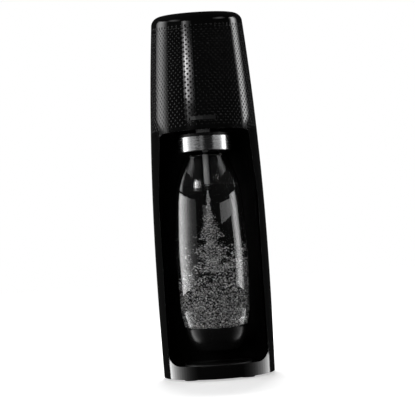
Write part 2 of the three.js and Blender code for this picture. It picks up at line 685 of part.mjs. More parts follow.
function holderCarriage() {
  const plateZ = mouthZ + SEAL_HEIGHT + 2 * GAP;
  const plateTop = plateZ + CARRIAGE_PLATE;
  const cupFoot = collarTopZ - COLLAR_HEIGHT + COLLAR_CHAMFER;
  const cup = lathe([
    vec(NOZZLE_RADIUS + GAP, plateZ),
    vec(carriageInner, plateZ),
    vec(carriageInner, cupFoot),
    vec(carriageOuter, cupFoot),
    vec(carriageOuter, plateTop),
    vec(NOZZLE_RADIUS + GAP, plateTop),
    vec(NOZZLE_RADIUS + GAP, plateZ),
  ], BOTTLE_SIDES);
  const pivotY = PIVOT_BEHIND_BOTTLE;
  const foot = plateTop - GAP;
  const side = polygon([
    [-COLLAR_RADIUS / 3, foot],
    [carriageOuter - HUB_RADIUS, foot],
    [pivotY + HUB_RADIUS, holderPivotZ],
    [pivotY - HUB_RADIUS, holderPivotZ],
  ]);
  const arms = [prismX(side, -ARM_X - ARM_THICKNESS, -ARM_X), prismX(side, ARM_X, ARM_X + ARM_THICKNESS)];
  const hub = rodX(HUB_RADIUS, -HUB_HALF_LENGTH, HUB_HALF_LENGTH, pivotY, holderPivotZ);
  const bore = rodX(PIVOT_PIN_RADIUS + PIN_PLAY, -HUB_HALF_LENGTH - PAST, HUB_HALF_LENGTH + PAST,
    pivotY, holderPivotZ);
  const whole = [...arms, hub].reduce((left, piece) => left.add(toSolid(piece)), toSolid(cup));
  return toGeometry(cut(whole, bore));
}

// One of the two jaws round the bottle's neck; side is -1 for the left and 1 for the right.
function snapJaw(side) {
  const inner = NECK_RING_RADIUS + GAP;
  const outer = carriageInner - JAW_OPEN - GAP / 2;
  const half = THREE.MathUtils.degToRad(JAW_SPAN / 2);
  const middle = side > 0 ? 0 : Math.PI;
  const shape = new THREE.Shape();
  shape.absarc(0, 0, outer, middle - half, middle + half);
  shape.absarc(0, 0, inner, middle + half, middle - half, true);
  const foot = collarTopZ - COLLAR_HEIGHT + COLLAR_CHAMFER;
  return prismZ(shape, foot, foot + JAW_HEIGHT, 14);
}

function nozzleTip() {
  const foot = mouthZ - NOZZLE_REACH;
  return lathe([
    vec(NOZZLE_BORE / 2, foot),
    vec(NOZZLE_RADIUS * NOZZLE_POINT, foot),
    vec(NOZZLE_RADIUS, foot + NOZZLE_TIP * 0.4),
    vec(NOZZLE_RADIUS, foot + NOZZLE_TIP - GAP),
    vec(NOZZLE_BORE, foot + NOZZLE_TIP - GAP),
    vec(NOZZLE_BORE / 2, foot + NOZZLE_TIP * 0.4),
    vec(NOZZLE_BORE / 2, foot),
  ], 20);
}

// The fixed bracket that the holder's pin runs in, drawn round the bottle's axis.
function pivotBracket() {
  const back = chassisFrontY - GAP - bottleY;
  const pivotY = PIVOT_BEHIND_BOTTLE;
  const inner = HUB_HALF_LENGTH + RUN;
  const outer = inner + EAR_THICKNESS;
  const foot = headFloorZ + HEAD_FLOOR_THICKNESS + GAP;
  const top = foot + BRACKET_HEIGHT + EAR_THICKNESS;
  const reach = HUB_RADIUS + EAR_THICKNESS;
  const side = polygon([
    [pivotY, holderPivotZ - reach],
    [back, holderPivotZ - 2 * reach],
    [back, top],
    [pivotY, top],
    [pivotY - reach, holderPivotZ + reach / 2],
    [pivotY - reach, holderPivotZ - reach / 2],
  ]);
  const pieces = [
    prismX(side, inner, outer),
    box(-outer, outer, back - EAR_THICKNESS, back, foot, top),
    box(-outer, outer, pivotY + 2 * reach, back, top - EAR_THICKNESS, top),
  ];
  const bore = rodX(PIVOT_PIN_RADIUS + PIN_PLAY, -outer - PAST, outer + PAST, pivotY, holderPivotZ);
  const whole = pieces.reduce((left, piece) => left.add(toSolid(piece)), toSolid(prismX(side, -outer, -inner)));
  return toGeometry(cut(whole, bore));
}

const bracketShelfZ = headFloorZ + HEAD_FLOOR_THICKNESS + GAP + BRACKET_HEIGHT + EAR_THICKNESS;
const inletY = chassisFrontY - GAP - PORT_LENGTH;

// ---------------------------------------------------------------- gas cylinder, drawn round its axis
function cylinderBody() {
  const top = cylinderValveZ - GAP;
  const neckZ = top - NECK_HEIGHT;
  const side = (inset) => [
    vec(CYLINDER_RADIUS - CYLINDER_FOOT_EDGE, cylinderFootZ + inset),
    vec(CYLINDER_RADIUS - inset, cylinderFootZ + CYLINDER_FOOT_EDGE),
    vec(CYLINDER_RADIUS - inset, neckZ - SHOULDER_HEIGHT),
    ...[SHOULDER_LOW, SHOULDER_HIGH].map(([r, drop]) =>
      vec(CYLINDER_RADIUS * r - inset, neckZ - SHOULDER_HEIGHT * drop)),
  ];
  const bore = CYLINDER_NECK_RADIUS - 2 * CYLINDER_WALL;
  const outer = [vec(0, cylinderFootZ), ...side(0), vec(CYLINDER_NECK_RADIUS, neckZ), vec(CYLINDER_NECK_RADIUS, top)];
  const inner = [vec(0, cylinderFootZ + CYLINDER_WALL), ...side(CYLINDER_WALL), vec(bore, neckZ - CYLINDER_WALL),
    vec(bore, top)];
  return lathe([...outer, ...inner.reverse()], CYLINDER_SIDES);
}

function cylinderValve() {
  const boreRadius = CYLINDER_PIN_RADIUS + PIN_PLAY * 2;
  const boreFoot = valveTopZ - CYLINDER_PIN_LENGTH - NECK_HEIGHT / 2;
  return lathe([
    vec(0, cylinderValveZ),
    vec(CYLINDER_NECK_RADIUS, cylinderValveZ),
    vec(CYLINDER_NECK_RADIUS, cylinderValveZ + NECK_HEIGHT * 0.75),
    vec(CYLINDER_VALVE_RADIUS, cylinderValveZ + NECK_HEIGHT * 0.75),
    vec(CYLINDER_VALVE_RADIUS, valveTopZ - 1),
    vec(CYLINDER_VALVE_RADIUS - 1, valveTopZ),
    vec(boreRadius, valveTopZ),
    vec(boreRadius, boreFoot),
    vec(0, boreFoot),
  ], 24);
}

function cylinderCradle() {
  const inner = CYLINDER_RADIUS + RUN * 2;
  const foot = baseTopZ + GAP;
  const floor = CRADLE_FLOOR_TOP - GAP;
  return lathe([
    vec(0, floor - CRADLE_WALL),
    vec(inner - CRADLE_WALL, floor - CRADLE_WALL),
    vec(inner - CRADLE_WALL, foot),
    vec(inner + CRADLE_WALL, foot),
    vec(inner + CRADLE_WALL, floor + CRADLE_RIM),
    vec(inner, floor + CRADLE_RIM),
    vec(inner, floor),
    vec(0, floor),
  ], CYLINDER_SIDES);
}

// ---------------------------------------------------------------- valve, drawn round the cylinder's axis
const valveScrewPlaces = [[-13, -6], [13, -6]];
const VALVE_SCREW_LENGTH = 10;
const bracketScrewPlaces = [[-14, chassisTopZ - 12], [14, chassisTopZ - 12]];
const BRACKET_DROP = 20;

function valveBody() {
  const bore = PLUNGER_RADIUS + GAP;
  const side = ring(bore, VALVE_RADIUS, valveBodyZ, valveBodyTopZ, 28, 1);
  const holes = valveScrewPlaces.map(([x, y]) =>
    disc(SCREW_RADIUS + GAP, bracketTopZ - VALVE_SCREW_LENGTH, valveBodyTopZ + PAST, 12).translate(x, y, 0));
  return toGeometry(cut(toSolid(side), ...holes));
}

function valveBracket() {
  const frontY = chassisBackY + GAP - cylinderY;
  const backY = LEVER_PIVOT_BEHIND + LEVER_HUB_RADIUS;
  const low = bracketTopZ - BRACKET_PLATE;
  const half = BRACKET_HALF_WIDTH;
  const ear = LEVER_HALF_WIDTH + LEVER_THICKNESS;
  const plate = prismZ(polygon([
    [-half, frontY], [half, frontY], [half, 0], [ear + BRACKET_PLATE, backY],
    [-ear - BRACKET_PLATE, backY], [-half, 0],
  ]), low, bracketTopZ);
  const flange = box(-half, half, frontY, frontY + BRACKET_PLATE, chassisTopZ - BRACKET_DROP, low + GAP);
  const earSide = polygon([
    [LEVER_PIVOT_BEHIND - LEVER_HUB_RADIUS, low + GAP],
    [backY, low + GAP],
    [backY, leverPivotZ],
    [LEVER_PIVOT_BEHIND + LEVER_PIN_RADIUS, leverPivotZ + LEVER_HUB_RADIUS],
    [LEVER_PIVOT_BEHIND - LEVER_PIN_RADIUS, leverPivotZ + LEVER_HUB_RADIUS],
    [LEVER_PIVOT_BEHIND - LEVER_HUB_RADIUS, leverPivotZ],
  ]);
  const pieces = [flange, prismX(earSide, ear, ear + BRACKET_PLATE), prismX(earSide, -ear - BRACKET_PLATE, -ear)];
  const whole = pieces.reduce((left, piece) => left.add(toSolid(piece)), toSolid(plate));
  const screwHoles = valveScrewPlaces.map(([x, y]) =>
    disc(SCREW_RADIUS + GAP, low - PAST, bracketTopZ + PAST, 12).translate(x, y, 0));
  const sideHoles = bracketScrewPlaces.map(([x, z]) =>
    rodY(SCREW_RADIUS + GAP, frontY - PAST, frontY + BRACKET_PLATE + PAST, x, z, 12));
  return toGeometry(cut(whole,
    disc(2 * PLUNGER_RADIUS + GAP, low - PAST, bracketTopZ + PAST, 20),
    rodY(PORT_RADIUS + 2 * GAP, frontY - PAST, frontY + BRACKET_PLATE + PAST, 0, portZ),
    rodX(LEVER_PIN_RADIUS + PIN_PLAY, -half, half, LEVER_PIVOT_BEHIND, leverPivotZ),
    ...screwHoles, ...sideHoles));
}

function plunger() {
  const foot = valveTopZ + GAP;
  const tip = leverPivotZ + LEVER_UP - GAP;
  const collar = tip - PLUNGER_TIP;
  return lathe([
    vec(0, foot),
    vec(CYLINDER_PIN_RADIUS, foot),
    vec(CYLINDER_PIN_RADIUS, valveBodyZ + PLUNGER_STEP),
    vec(PLUNGER_RADIUS, valveBodyZ + PLUNGER_STEP),
    vec(PLUNGER_RADIUS, collar - PLUNGER_COLLAR_HEIGHT),
    vec(PLUNGER_COLLAR_RADIUS, collar - PLUNGER_COLLAR_HEIGHT),
    vec(PLUNGER_COLLAR_RADIUS, collar),
    vec(PLUNGER_RADIUS * 0.8, collar),
    vec(PLUNGER_RADIUS * 0.8, tip - PLUNGER_TIP / 2),
    vec(0, tip),
  ], 20);
}

const SPRING_WIRE = 0.5;
const SPRING_TURNS = 3;

class Helix extends THREE.Curve {
  constructor(radius, from, to, turns) {
    super();
    Object.assign(this, { radius, from, to, turns });
  }

  getPoint(t, target = new THREE.Vector3()) {
    const angle = 2 * Math.PI * this.turns * t;
    return target.set(this.radius * Math.cos(angle), this.radius * Math.sin(angle),
      this.from + (this.to - this.from) * t);
  }
}

function returnSpring() {
  const from = valveBodyTopZ + GAP + SPRING_WIRE;
  const collarFoot = leverPivotZ + LEVER_UP - GAP - PLUNGER_TIP - PLUNGER_COLLAR_HEIGHT;
  const to = collarFoot - GAP - SPRING_WIRE;
  const section = new THREE.Shape().absarc(0, 0, SPRING_WIRE, 0, 2 * Math.PI);
  const path = new Helix(PLUNGER_COLLAR_RADIUS - SPRING_WIRE, from, to, SPRING_TURNS);
  return new THREE.ExtrudeGeometry(section, {
    steps: 12 * SPRING_TURNS, curveSegments: 3, bevelEnabled: false, extrudePath: path,
  });
}

function valveLever() {
  const foot = leverPivotZ + LEVER_UP;
  const top = foot + LEVER_THICKNESS;
  const tipY = -LEVER_PRESS_BEFORE - 2 * STEM_RADIUS;
  const arm = prismZ(roundRect(LEVER_HALF_WIDTH, (LEVER_PIVOT_BEHIND - tipY) / 2, LEVER_HALF_WIDTH * 0.9,
    0, (LEVER_PIVOT_BEHIND + tipY) / 2), foot, top, 4);
  const half = LEVER_HALF_WIDTH + LEVER_THICKNESS - RUN;
  const hub = rodX(LEVER_HUB_RADIUS, -half, half, LEVER_PIVOT_BEHIND, leverPivotZ);
  const bore = rodX(LEVER_PIN_RADIUS + PIN_PLAY, -half - PAST, half + PAST, LEVER_PIVOT_BEHIND, leverPivotZ);
  return toGeometry(cut(toSolid(arm).add(toSolid(hub)), bore));
}

function gasHose() {
  const start = cylinderY - VALVE_RADIUS - GAP - PORT_LENGTH - GAP;
  const end = bracketShelfZ + GAP + PORT_LENGTH + GAP;
  const path = new THREE.CurvePath();
  const corner = new THREE.QuadraticBezierCurve3(
    new THREE.Vector3(0, inletY + HOSE_BEND, portZ),
    new THREE.Vector3(0, inletY, portZ),
    new THREE.Vector3(0, inletY, portZ - HOSE_BEND));
  path.add(new THREE.LineCurve3(new THREE.Vector3(0, start, portZ), corner.v0));
  path.add(corner);
  path.add(new THREE.LineCurve3(corner.v2, new THREE.Vector3(0, inletY, end)));
  const section = new THREE.Shape().absarc(0, 0, HOSE_RADIUS, 0, 2 * Math.PI);
  return new THREE.ExtrudeGeometry(section, {
    steps: 16, curveSegments: 5, bevelEnabled: false, extrudePath: path,
  });
}

// A barbed fitting that stands on its flange: shares of the port's radius and length.
const BARB_OUTLINE = [[0, 0], [1, 0], [1, 0.3], [0.65, 0.3], [0.85, 0.4], [0.6, 0.65], [0.85, 0.7], [0.6, 1], [0, 1]];

function hoseFitting() {
  return lathe(BARB_OUTLINE.map(([r, z]) => vec(r * PORT_RADIUS, z * PORT_LENGTH)), 16);
}

// ---------------------------------------------------------------- materials
const finish = (color, roughness, metalness, extra = {}) =>
  new THREE.MeshStandardMaterial({ color, roughness, metalness, ...extra });
const glossBlack = () => finish(0x0b0b0c, 0.12, 0);
const mattBlack = () => finish(0x161617, 0.5, 0);
const rubber = () => finish(0x101010, 0.85, 0);
const steel = () => finish(0xb9bcc0, 0.3, 1);
const brass = () => finish(0xb08d4a, 0.3, 1);

// ---------------------------------------------------------------- the assembly
const machine = new THREE.Group();
const holder = new THREE.Group();
const gas = new THREE.Group();
holder.position.set(0, bottleY, 0);
gas.position.set(0, cylinderY, 0);
machine.add(holder, gas);

function piece(parent, name, geometry, material, place = [0, 0, 0], turn = [0, 0, 0]) {
  const mesh = new THREE.Mesh(geometry, material);
  mesh.name = name;
  mesh.position.set(...place);
  mesh.rotation.set(...turn);
  parent.add(mesh);
}

piece(machine, 'base_plate', basePlate(), mattBlack());
for (const [name, [x, y]] of Object.entries(footPlaces)) {
  piece(machine, name, footShape(), rubber(), [x, y, 0]);
}
for (const [name, [x, y]] of Object.entries(baseScrewPlaces)) {
  piece(machine, name, screw(BASE_SCREW_LENGTH), steel(), [x, y, FOOT_HEIGHT]);
}
piece(machine, 'front_housing', frontHousing(), glossBlack());
piece(machine, 'bay_liner', bayLiner(), glossBlack());
piece(machine, 'drip_tray', dripTray(), mattBlack());
piece(machine, 'chassis', chassis(), mattBlack());
piece(machine, 'rear_cover', rearCover(), glossBlack());
piece(machine, 'cover_latch', coverLatch(), mattBlack());
piece(machine, 'head_cap', headCap(), glossBlack());
piece(machine, 'head_floor', headFloor(), mattBlack());
piece(machine, 'name_plate', namePlate(), finish(0x3a3a3c, 0.35, 0.4));
piece(machine, 'button_frame', buttonFrame(), mattBlack());
piece(machine, 'carbonating_button', carbonatingButton(), glossBlack());

piece(holder, 'bottle_shell', bottleShell(), finish(0xdfe6ea, 0.08, 0, { transparent: true, opacity: 0.35 }),
  [0, 0, bottleFootZ]);
piece(holder, 'bottle_base', bottleBase(), mattBlack(), [0, 0, bottleFootZ]);
piece(holder, 'collar_ring', collarRing(), steel());
piece(holder, 'holder_carriage', holderCarriage(), mattBlack());
piece(holder, 'snap_jaw_left', snapJaw(-1), mattBlack());
piece(holder, 'snap_jaw_right', snapJaw(1), mattBlack());
piece(holder, 'bottle_seal', ring(NOZZLE_RADIUS + GAP, MOUTH_RADIUS + 1, mouthZ + GAP,
  mouthZ + GAP + SEAL_HEIGHT, 28), rubber());
piece(holder, 'nozzle_tube', ring(NOZZLE_BORE, NOZZLE_RADIUS, mouthZ - NOZZLE_REACH + NOZZLE_TIP,
  collarTopZ + CARRIAGE_PLATE - 1, 20), finish(0x8a8d90, 0.4, 0));
piece(holder, 'nozzle_tip', nozzleTip(), finish(0x77797c, 0.45, 0));
piece(holder, 'nozzle_block', disc(NOZZLE_BLOCK_RADIUS, 0, NOZZLE_BLOCK_HEIGHT, 24), finish(0x8a8d90, 0.4, 0),
  [0, 0, mouthZ + SEAL_HEIGHT + CARRIAGE_PLATE + 3 * GAP]);
piece(holder, 'pivot_bracket', pivotBracket(), steel());
piece(holder, 'holder_pivot_pin', disc(PIVOT_PIN_RADIUS, -HUB_HALF_LENGTH - RUN - EAR_THICKNESS - 1,
  HUB_HALF_LENGTH + RUN + EAR_THICKNESS + 1, 20), steel(),
[0, PIVOT_BEHIND_BOTTLE, holderPivotZ], [0, Math.PI / 2, 0]);
piece(machine, 'inlet_fitting', hoseFitting(), brass(), [0, inletY, bracketShelfZ + GAP]);

piece(gas, 'cylinder_body', cylinderBody(), finish(0xc9cdd2, 0.35, 0.6));
piece(gas, 'cylinder_valve', cylinderValve(), brass());
piece(gas, 'cylinder_pin', disc(CYLINDER_PIN_RADIUS, valveTopZ - CYLINDER_PIN_LENGTH, valveTopZ, 12), brass());
piece(gas, 'cylinder_cradle', cylinderCradle(), mattBlack());
piece(gas, 'cylinder_socket', ring(CYLINDER_VALVE_RADIUS + 0.4, CYLINDER_VALVE_RADIUS + SOCKET_WALL,
  valveBodyZ - GAP - SOCKET_HEIGHT, valveBodyZ - GAP, 28, 0.8), brass());
piece(gas, 'seal_washer', ring(PLUNGER_RADIUS + RUN, CYLINDER_VALVE_RADIUS - 1, valveTopZ + GAP,
  valveTopZ + GAP + WASHER_HEIGHT, 24), rubber());
piece(gas, 'valve_body', valveBody(), brass());
piece(gas, 'valve_bracket', valveBracket(), steel());
valveScrewPlaces.forEach(([x, y], i) => {
  piece(gas, ['valve_screw_left', 'valve_screw_right'][i], screw(VALVE_SCREW_LENGTH), steel(),
    [x, y, bracketTopZ + GAP + SCREW_HEAD_HEIGHT], [Math.PI, 0, 0]);
});
bracketScrewPlaces.forEach(([x, z], i) => {
  piece(machine, ['bracket_screw_left', 'bracket_screw_right'][i], screw(SCREW_HEAD_HEIGHT + 5), steel(),
    [x, chassisBackY + BRACKET_PLATE + 2 * GAP + SCREW_HEAD_HEIGHT, z], [Math.PI / 2, 0, 0]);
});
piece(gas, 'relief_valve', hoseFitting(), brass(), [VALVE_RADIUS + GAP, 0, portZ], [0, Math.PI / 2, 0]);
piece(gas, 'outlet_fitting', hoseFitting(), brass(), [0, -VALVE_RADIUS - GAP, portZ], [Math.PI / 2, 0, 0]);
piece(gas, 'plunger', plunger(), steel());
piece(gas, 'return_spring', returnSpring(), steel());
piece(gas, 'valve_lever', valveLever(), steel());
piece(gas, 'lever_pivot_pin', disc(LEVER_PIN_RADIUS, -LEVER_HALF_WIDTH - LEVER_THICKNESS - BRACKET_PLATE - 1,
  LEVER_HALF_WIDTH + LEVER_THICKNESS + BRACKET_PLATE + 1, 16), steel(),
[0, LEVER_PIVOT_BEHIND, leverPivotZ], [0, Math.PI / 2, 0]);
piece(machine, 'gas_hose', gasHose(), rubber());

// The front lip is a little less deep than the belly behind, so the machine is centred by its box.
const outerBox = new THREE.Box3().setFromObject(machine);
machine.position.y = -outerBox.getCenter(new THREE.Vector3()).y;

export default machine;
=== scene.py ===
# %% [markdown]
# # A slim soda carbonator
# The machine is a tall shell of gloss black plastic with a clear bottle hanging in a bay at the front.
# Its moving frame is already made and packed, so this lesson loads it, keeps every piece where it is,
# and gives each surface you can see a finer mesh and a finish of its own.
# Everything is in metres, +Z is up and the front faces -Y.

# %% Load the frame
import math
import random

import bmesh
import bpy
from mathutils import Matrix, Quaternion, Vector, noise


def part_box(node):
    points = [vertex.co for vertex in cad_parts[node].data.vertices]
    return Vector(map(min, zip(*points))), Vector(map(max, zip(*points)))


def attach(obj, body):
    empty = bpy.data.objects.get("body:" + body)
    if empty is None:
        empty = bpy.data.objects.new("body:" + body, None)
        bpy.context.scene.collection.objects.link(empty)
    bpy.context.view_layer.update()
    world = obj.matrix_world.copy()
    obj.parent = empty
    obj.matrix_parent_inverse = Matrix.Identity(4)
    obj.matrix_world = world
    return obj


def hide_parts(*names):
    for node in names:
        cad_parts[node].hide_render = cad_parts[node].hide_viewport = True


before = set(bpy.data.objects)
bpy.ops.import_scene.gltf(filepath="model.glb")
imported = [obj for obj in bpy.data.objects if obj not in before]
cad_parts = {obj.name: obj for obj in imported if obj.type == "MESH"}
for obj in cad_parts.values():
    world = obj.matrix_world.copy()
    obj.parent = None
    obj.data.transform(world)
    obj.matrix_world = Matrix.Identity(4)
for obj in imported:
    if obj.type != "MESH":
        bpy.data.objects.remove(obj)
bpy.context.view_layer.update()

MM = 0.001

# %% [markdown]
# ## Where things are
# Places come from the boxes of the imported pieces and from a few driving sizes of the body, so the fine
# meshes land on the plain ones. The body is a hair smaller here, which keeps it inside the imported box.
# The body's section is an ellipse. Its half width swells to a belly well below its middle and then tapers to
# the rim along a parabola, and its depth keeps the same share of its width all the way up.

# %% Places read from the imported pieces
def corners(node):
    low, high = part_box(node)
    return Vector(low), Vector(high)


collar_low, collar_high = corners("collar_ring")

WALL = 2.6 * MM
GAP = 0.3 * MM
BELLY_HALF_WIDTH = 64.97 * MM
BELLY_HALF_DEPTH = 93.33 * MM
BELLY_Z = 125 * MM
BASE_TUCK = 1.7 * MM
RIM_TUCK = 12.1 * MM
RIM_RADIUS = 11 * MM
TOP_SLOPE = 0.12
LEAN_START_Z = 330 * MM
TOP_Z = 416.3 * MM
RIM_Z = TOP_Z - RIM_RADIUS
SEAM_Z = TOP_Z - 18.5 * MM
EDGE_Z = corners("head_cap")[0].z
SPLIT_Y = 34 * MM
MIDDLE_Y = corners("front_housing")[1].y - SPLIT_Y
BOTTLE_Y = (collar_low.y + collar_high.y) / 2
print("head edge at", round(EDGE_Z, 4), "bottle axis at", round(BOTTLE_Y, 4), "middle", round(MIDDLE_Y, 5))

# %% [markdown]
# Every casing shares one outline, so it is written once as a formula. A place on the wall is an angle round
# the body and a height, and two more steps lean the head's top back and set the body on its middle line.

# %% The body's outline as a formula
def half_width(z):
    if z < BELLY_Z:
        return BELLY_HALF_WIDTH - BASE_TUCK * ((BELLY_Z - z) / BELLY_Z) ** 2
    return BELLY_HALF_WIDTH - RIM_TUCK * ((z - BELLY_Z) / (RIM_Z - BELLY_Z)) ** 2


def on_body(angle, z, inset=0.0, pull=0.0):
    """A point of the wall. The angle runs from the front (0) round the right side (90 degrees).
    The pull takes the point in over the rounded rim, as a share of a quarter turn."""
    width = half_width(min(z, RIM_Z)) - inset
    if pull:
        turn = pull * math.pi / 2
        width = half_width(RIM_Z) - RIM_RADIUS + (RIM_RADIUS - inset) * math.cos(turn)
        z = RIM_Z + (RIM_RADIUS - inset) * math.sin(turn)
    stretch = (BELLY_HALF_DEPTH - inset) / (BELLY_HALF_WIDTH - inset)
    return Vector((width * math.sin(angle), -width * stretch * math.cos(angle), z))


def leaned(point):
    """The head's top rises towards the back; the slope fades out down the sides."""
    t = min(max((point.z - LEAN_START_Z) / (TOP_Z - LEAN_START_Z), 0), 1)
    t = t * t * (3 - 2 * t)
    return point + Vector((0, 0, TOP_SLOPE * point.y * t))


def placed(point):
    return point + Vector((0, MIDDLE_Y, 0))


def side_angle(z, inset=0.0):
    """The angle at which the wall meets the plane between the front shells and the rear cover."""
    depth = (half_width(z) - inset) * (BELLY_HALF_DEPTH - inset) / (BELLY_HALF_WIDTH - inset)
    return math.acos(-SPLIT_Y / depth)


print("half width at the head's edge", round(half_width(EDGE_Z), 5))

# %% [markdown]
# ## The camera
# A long lens a metre and a half away keeps the tall body's sides nearly parallel. It stands a little above
# the table and looks slightly up, and it is rolled a few degrees, so the machine seems to lean.

# %% Camera
CAMERA_DISTANCE = 1.6
EYE_HEIGHT = 0.12
SIDE_STEP = -0.0014
LENS = 120.4
SENSOR = 36.0
CLIP_END = 20
PITCH_UP = math.radians(2.6)
ROLL = math.radians(3.8)

camera_data = bpy.data.cameras.new("camera")
camera_data.lens = LENS
camera_data.sensor_width = SENSOR
camera_data.clip_end = CLIP_END
camera = bpy.data.objects.new("camera", camera_data)
forward = Vector((0, math.cos(PITCH_UP), math.sin(PITCH_UP)))
facing = forward.to_track_quat("-Z", "Y")
rolled = Quaternion((0, 0, 1), -ROLL)
camera.rotation_mode = "QUATERNION"
camera.rotation_quaternion = facing @ rolled
camera.location = (SIDE_STEP, -CAMERA_DISTANCE, EYE_HEIGHT)
bpy.context.collection.objects.link(camera)
bpy.context.scene.camera = camera
print("camera at", tuple(camera.location), "lens", LENS)

# %% [markdown]
# ## Shader maths as plain expressions
# A finish is a small network of nodes. Wrapping a socket in a class with operators lets the network be
# written as arithmetic, such as `0.1 + 0.05 * cloud`, and each operator adds the Math node it stands for.


# %% The socket class
class Value:
    """A socket's number on its way through a network of nodes."""

    def __init__(self, network, link):
        self.network = network
        self.link = link

    def worked(self, operation, left, right):
        return self.network.node("ShaderNodeMath", {"operation": operation}, {0: left, 1: right})

    def __add__(self, other):
        return self.worked("ADD", self, other)

    __radd__ = __add__

    def __mul__(self, other):
        return self.worked("MULTIPLY", self, other)

    __rmul__ = __mul__

    def __sub__(self, other):
        return self.worked("SUBTRACT", self, other)

    def __rsub__(self, other):
        return self.worked("SUBTRACT", other, self)

    def __pow__(self, other):
        return self.worked("POWER", self, other)

    def __rpow__(self, other):
        return self.worked("POWER", other, self)

    def above(self, limit):
        return self.worked("GREATER_THAN", self, limit)


print("a Value can be added, multiplied, subtracted, raised and compared")

# %% [markdown]
# Every other node is made by one method, which takes the node's type, its settings and what feeds its
# sockets. The world has nodes of its own, so the method belongs to any network, and a finish is the network
# of one material with a few helpers for grain, colour and bumps.


# %% The network and the finish
class Network:
    """The nodes of the world or of a material, up to its output node."""

    def __init__(self, tree, output):
        self.tree = tree
        self.tree.nodes.clear()
        self.out = self.tree.nodes.new(output)

    def node(self, kind, settings=None, sockets=None, output=0):
        made = self.tree.nodes.new(kind)
        for key, value in (settings or {}).items():
            setattr(made, key, value)
        for key, value in (sockets or {}).items():
            if isinstance(value, Value):
                self.tree.links.new(value.link, made.inputs[key])
            else:
                made.inputs[key].default_value = value
        return Value(self, made.outputs[output])

    def done(self, shader):
        self.tree.links.new(shader.link, self.out.inputs["Surface"])


class Finish(Network):
    """A material under construction."""

    def __init__(self, name):
        self.material = bpy.data.materials.new(name)
        self.material.use_nodes = True
        super().__init__(self.material.node_tree, "ShaderNodeOutputMaterial")

    def place(self, stretch):
        here = self.node("ShaderNodeTexCoord", output="Object")
        return self.node("ShaderNodeMapping", {}, {"Vector": here, "Scale": stretch})

    def noise(self, size, detail=3, stretch=(1, 1, 1)):
        """Cloudy noise from 0 to 1 whose lumps are about the size given, in metres."""
        return self.node("ShaderNodeTexNoise", {},
                         {"Vector": self.place(stretch), "Scale": 1 / size, "Detail": detail})

    def blend(self, share, first, second):
        return self.node("ShaderNodeMix", {"data_type": "RGBA"}, {0: share, 6: first, 7: second}, output=2)

    def bump(self, height, depth):
        return self.node("ShaderNodeBump", {}, {"Height": height, "Distance": depth, "Strength": 1.0})

    def shader(self, **sockets):
        return self.node("ShaderNodeBsdfPrincipled", {},
                         {name.replace("_", " "): value for name, value in sockets.items()})

    def done(self, shader):
        super().done(shader)
        return self.material


def grey(value):
    return (value, value, value, 1.0)


print("finishes are written as expressions from here on")

# %% [markdown]
# ## The room
# Gloss black shows nothing but what it mirrors, so the room is dark everywhere except for the panels that
# follow. Only the eye sees a white background. The mix of the two backgrounds is a matter of which ray asks.

# %% World
ROOM_GLOW = 0.012
bpy.context.scene.view_settings.view_transform = "Standard"
world = bpy.data.worlds.new("white_room")
bpy.context.scene.world = world
world.use_nodes = True
room = Network(world.node_tree, "ShaderNodeOutputWorld")
seen = room.node("ShaderNodeLightPath", output="Is Camera Ray")
dark = room.node("ShaderNodeBackground", {}, {"Color": grey(1), "Strength": ROOM_GLOW})
white = room.node("ShaderNodeBackground", {}, {"Color": grey(1)})
room.done(room.node("ShaderNodeMixShader", {}, {0: seen, 1: dark, 2: white}))
print("the room glows at", ROOM_GLOW)

# %% [markdown]
# The floor is a pale sheet that takes the soft shadow at the machine's foot. The body doesn't mirror it.
# Its own glow grows away from the machine, so it runs out into the white background without a horizon.

# %% Floor
FLOOR_SIZE = 30
FLOOR_DROP = 0.2 * MM
NEAR, FAR = 0.15, 0.8
NEAR_GLOW = 0.5


def pale_floor():
    finish = Finish("pale_floor")
    fleck = finish.noise(0.05)
    here = finish.node("ShaderNodeTexCoord", output="Object")
    away = finish.node("ShaderNodeVectorMath", {"operation": "LENGTH"}, {0: here}, output="Value")
    far = finish.node("ShaderNodeMapRange", {"interpolation_type": "SMOOTHSTEP"}, {0: away, 1: NEAR, 2: FAR})
    return finish.done(finish.shader(
        Base_Color=finish.blend(fleck, grey(0.8), grey(0.82)),
        Roughness=0.9,
        Specular_IOR_Level=0.0,
        Emission_Color=finish.blend(far, grey(NEAR_GLOW), grey(1)),
        Emission_Strength=1.0))


bpy.ops.mesh.primitive_plane_add(size=FLOOR_SIZE, location=(0, 0, -FLOOR_DROP))
floor = bpy.context.object
floor.name = "floor"
for ray in ("glossy", "diffuse", "transmission", "shadow"):
    setattr(floor, "visible_" + ray, False)
floor.data.materials.append(pale_floor())
print("floor:", floor.data.materials[0].name)

# %% [markdown]
# ## Soft panels
# Tall soft panels stand round the machine, each as a sweep of upright slices, so that a bright band on the
# body can fade towards one side. The panels beside and behind it draw the long bands down its flanks, and a
# small hot one up in front draws the dotted strip on the head. Low panels light the foot, and weak high ones
# the bottle's shoulder. Two plain lamps that nothing mirrors light the bubbles and the floor.


# %% Making a panel and a sweep
PANEL_DISTANCE = 1.2


def lamp_at(name, place, aim, width, height, power):
    data = bpy.data.lights.new(name, "AREA")
    data.shape = "RECTANGLE"
    data.size = width
    data.size_y = height
    data.energy = power
    lamp = bpy.data.objects.new(name, data)
    lamp.location = place
    lamp.rotation_euler = (Vector(aim) - lamp.location).to_track_quat("-Z", "Y").to_euler()
    lamp.visible_camera = False
    bpy.context.collection.objects.link(lamp)
    return lamp


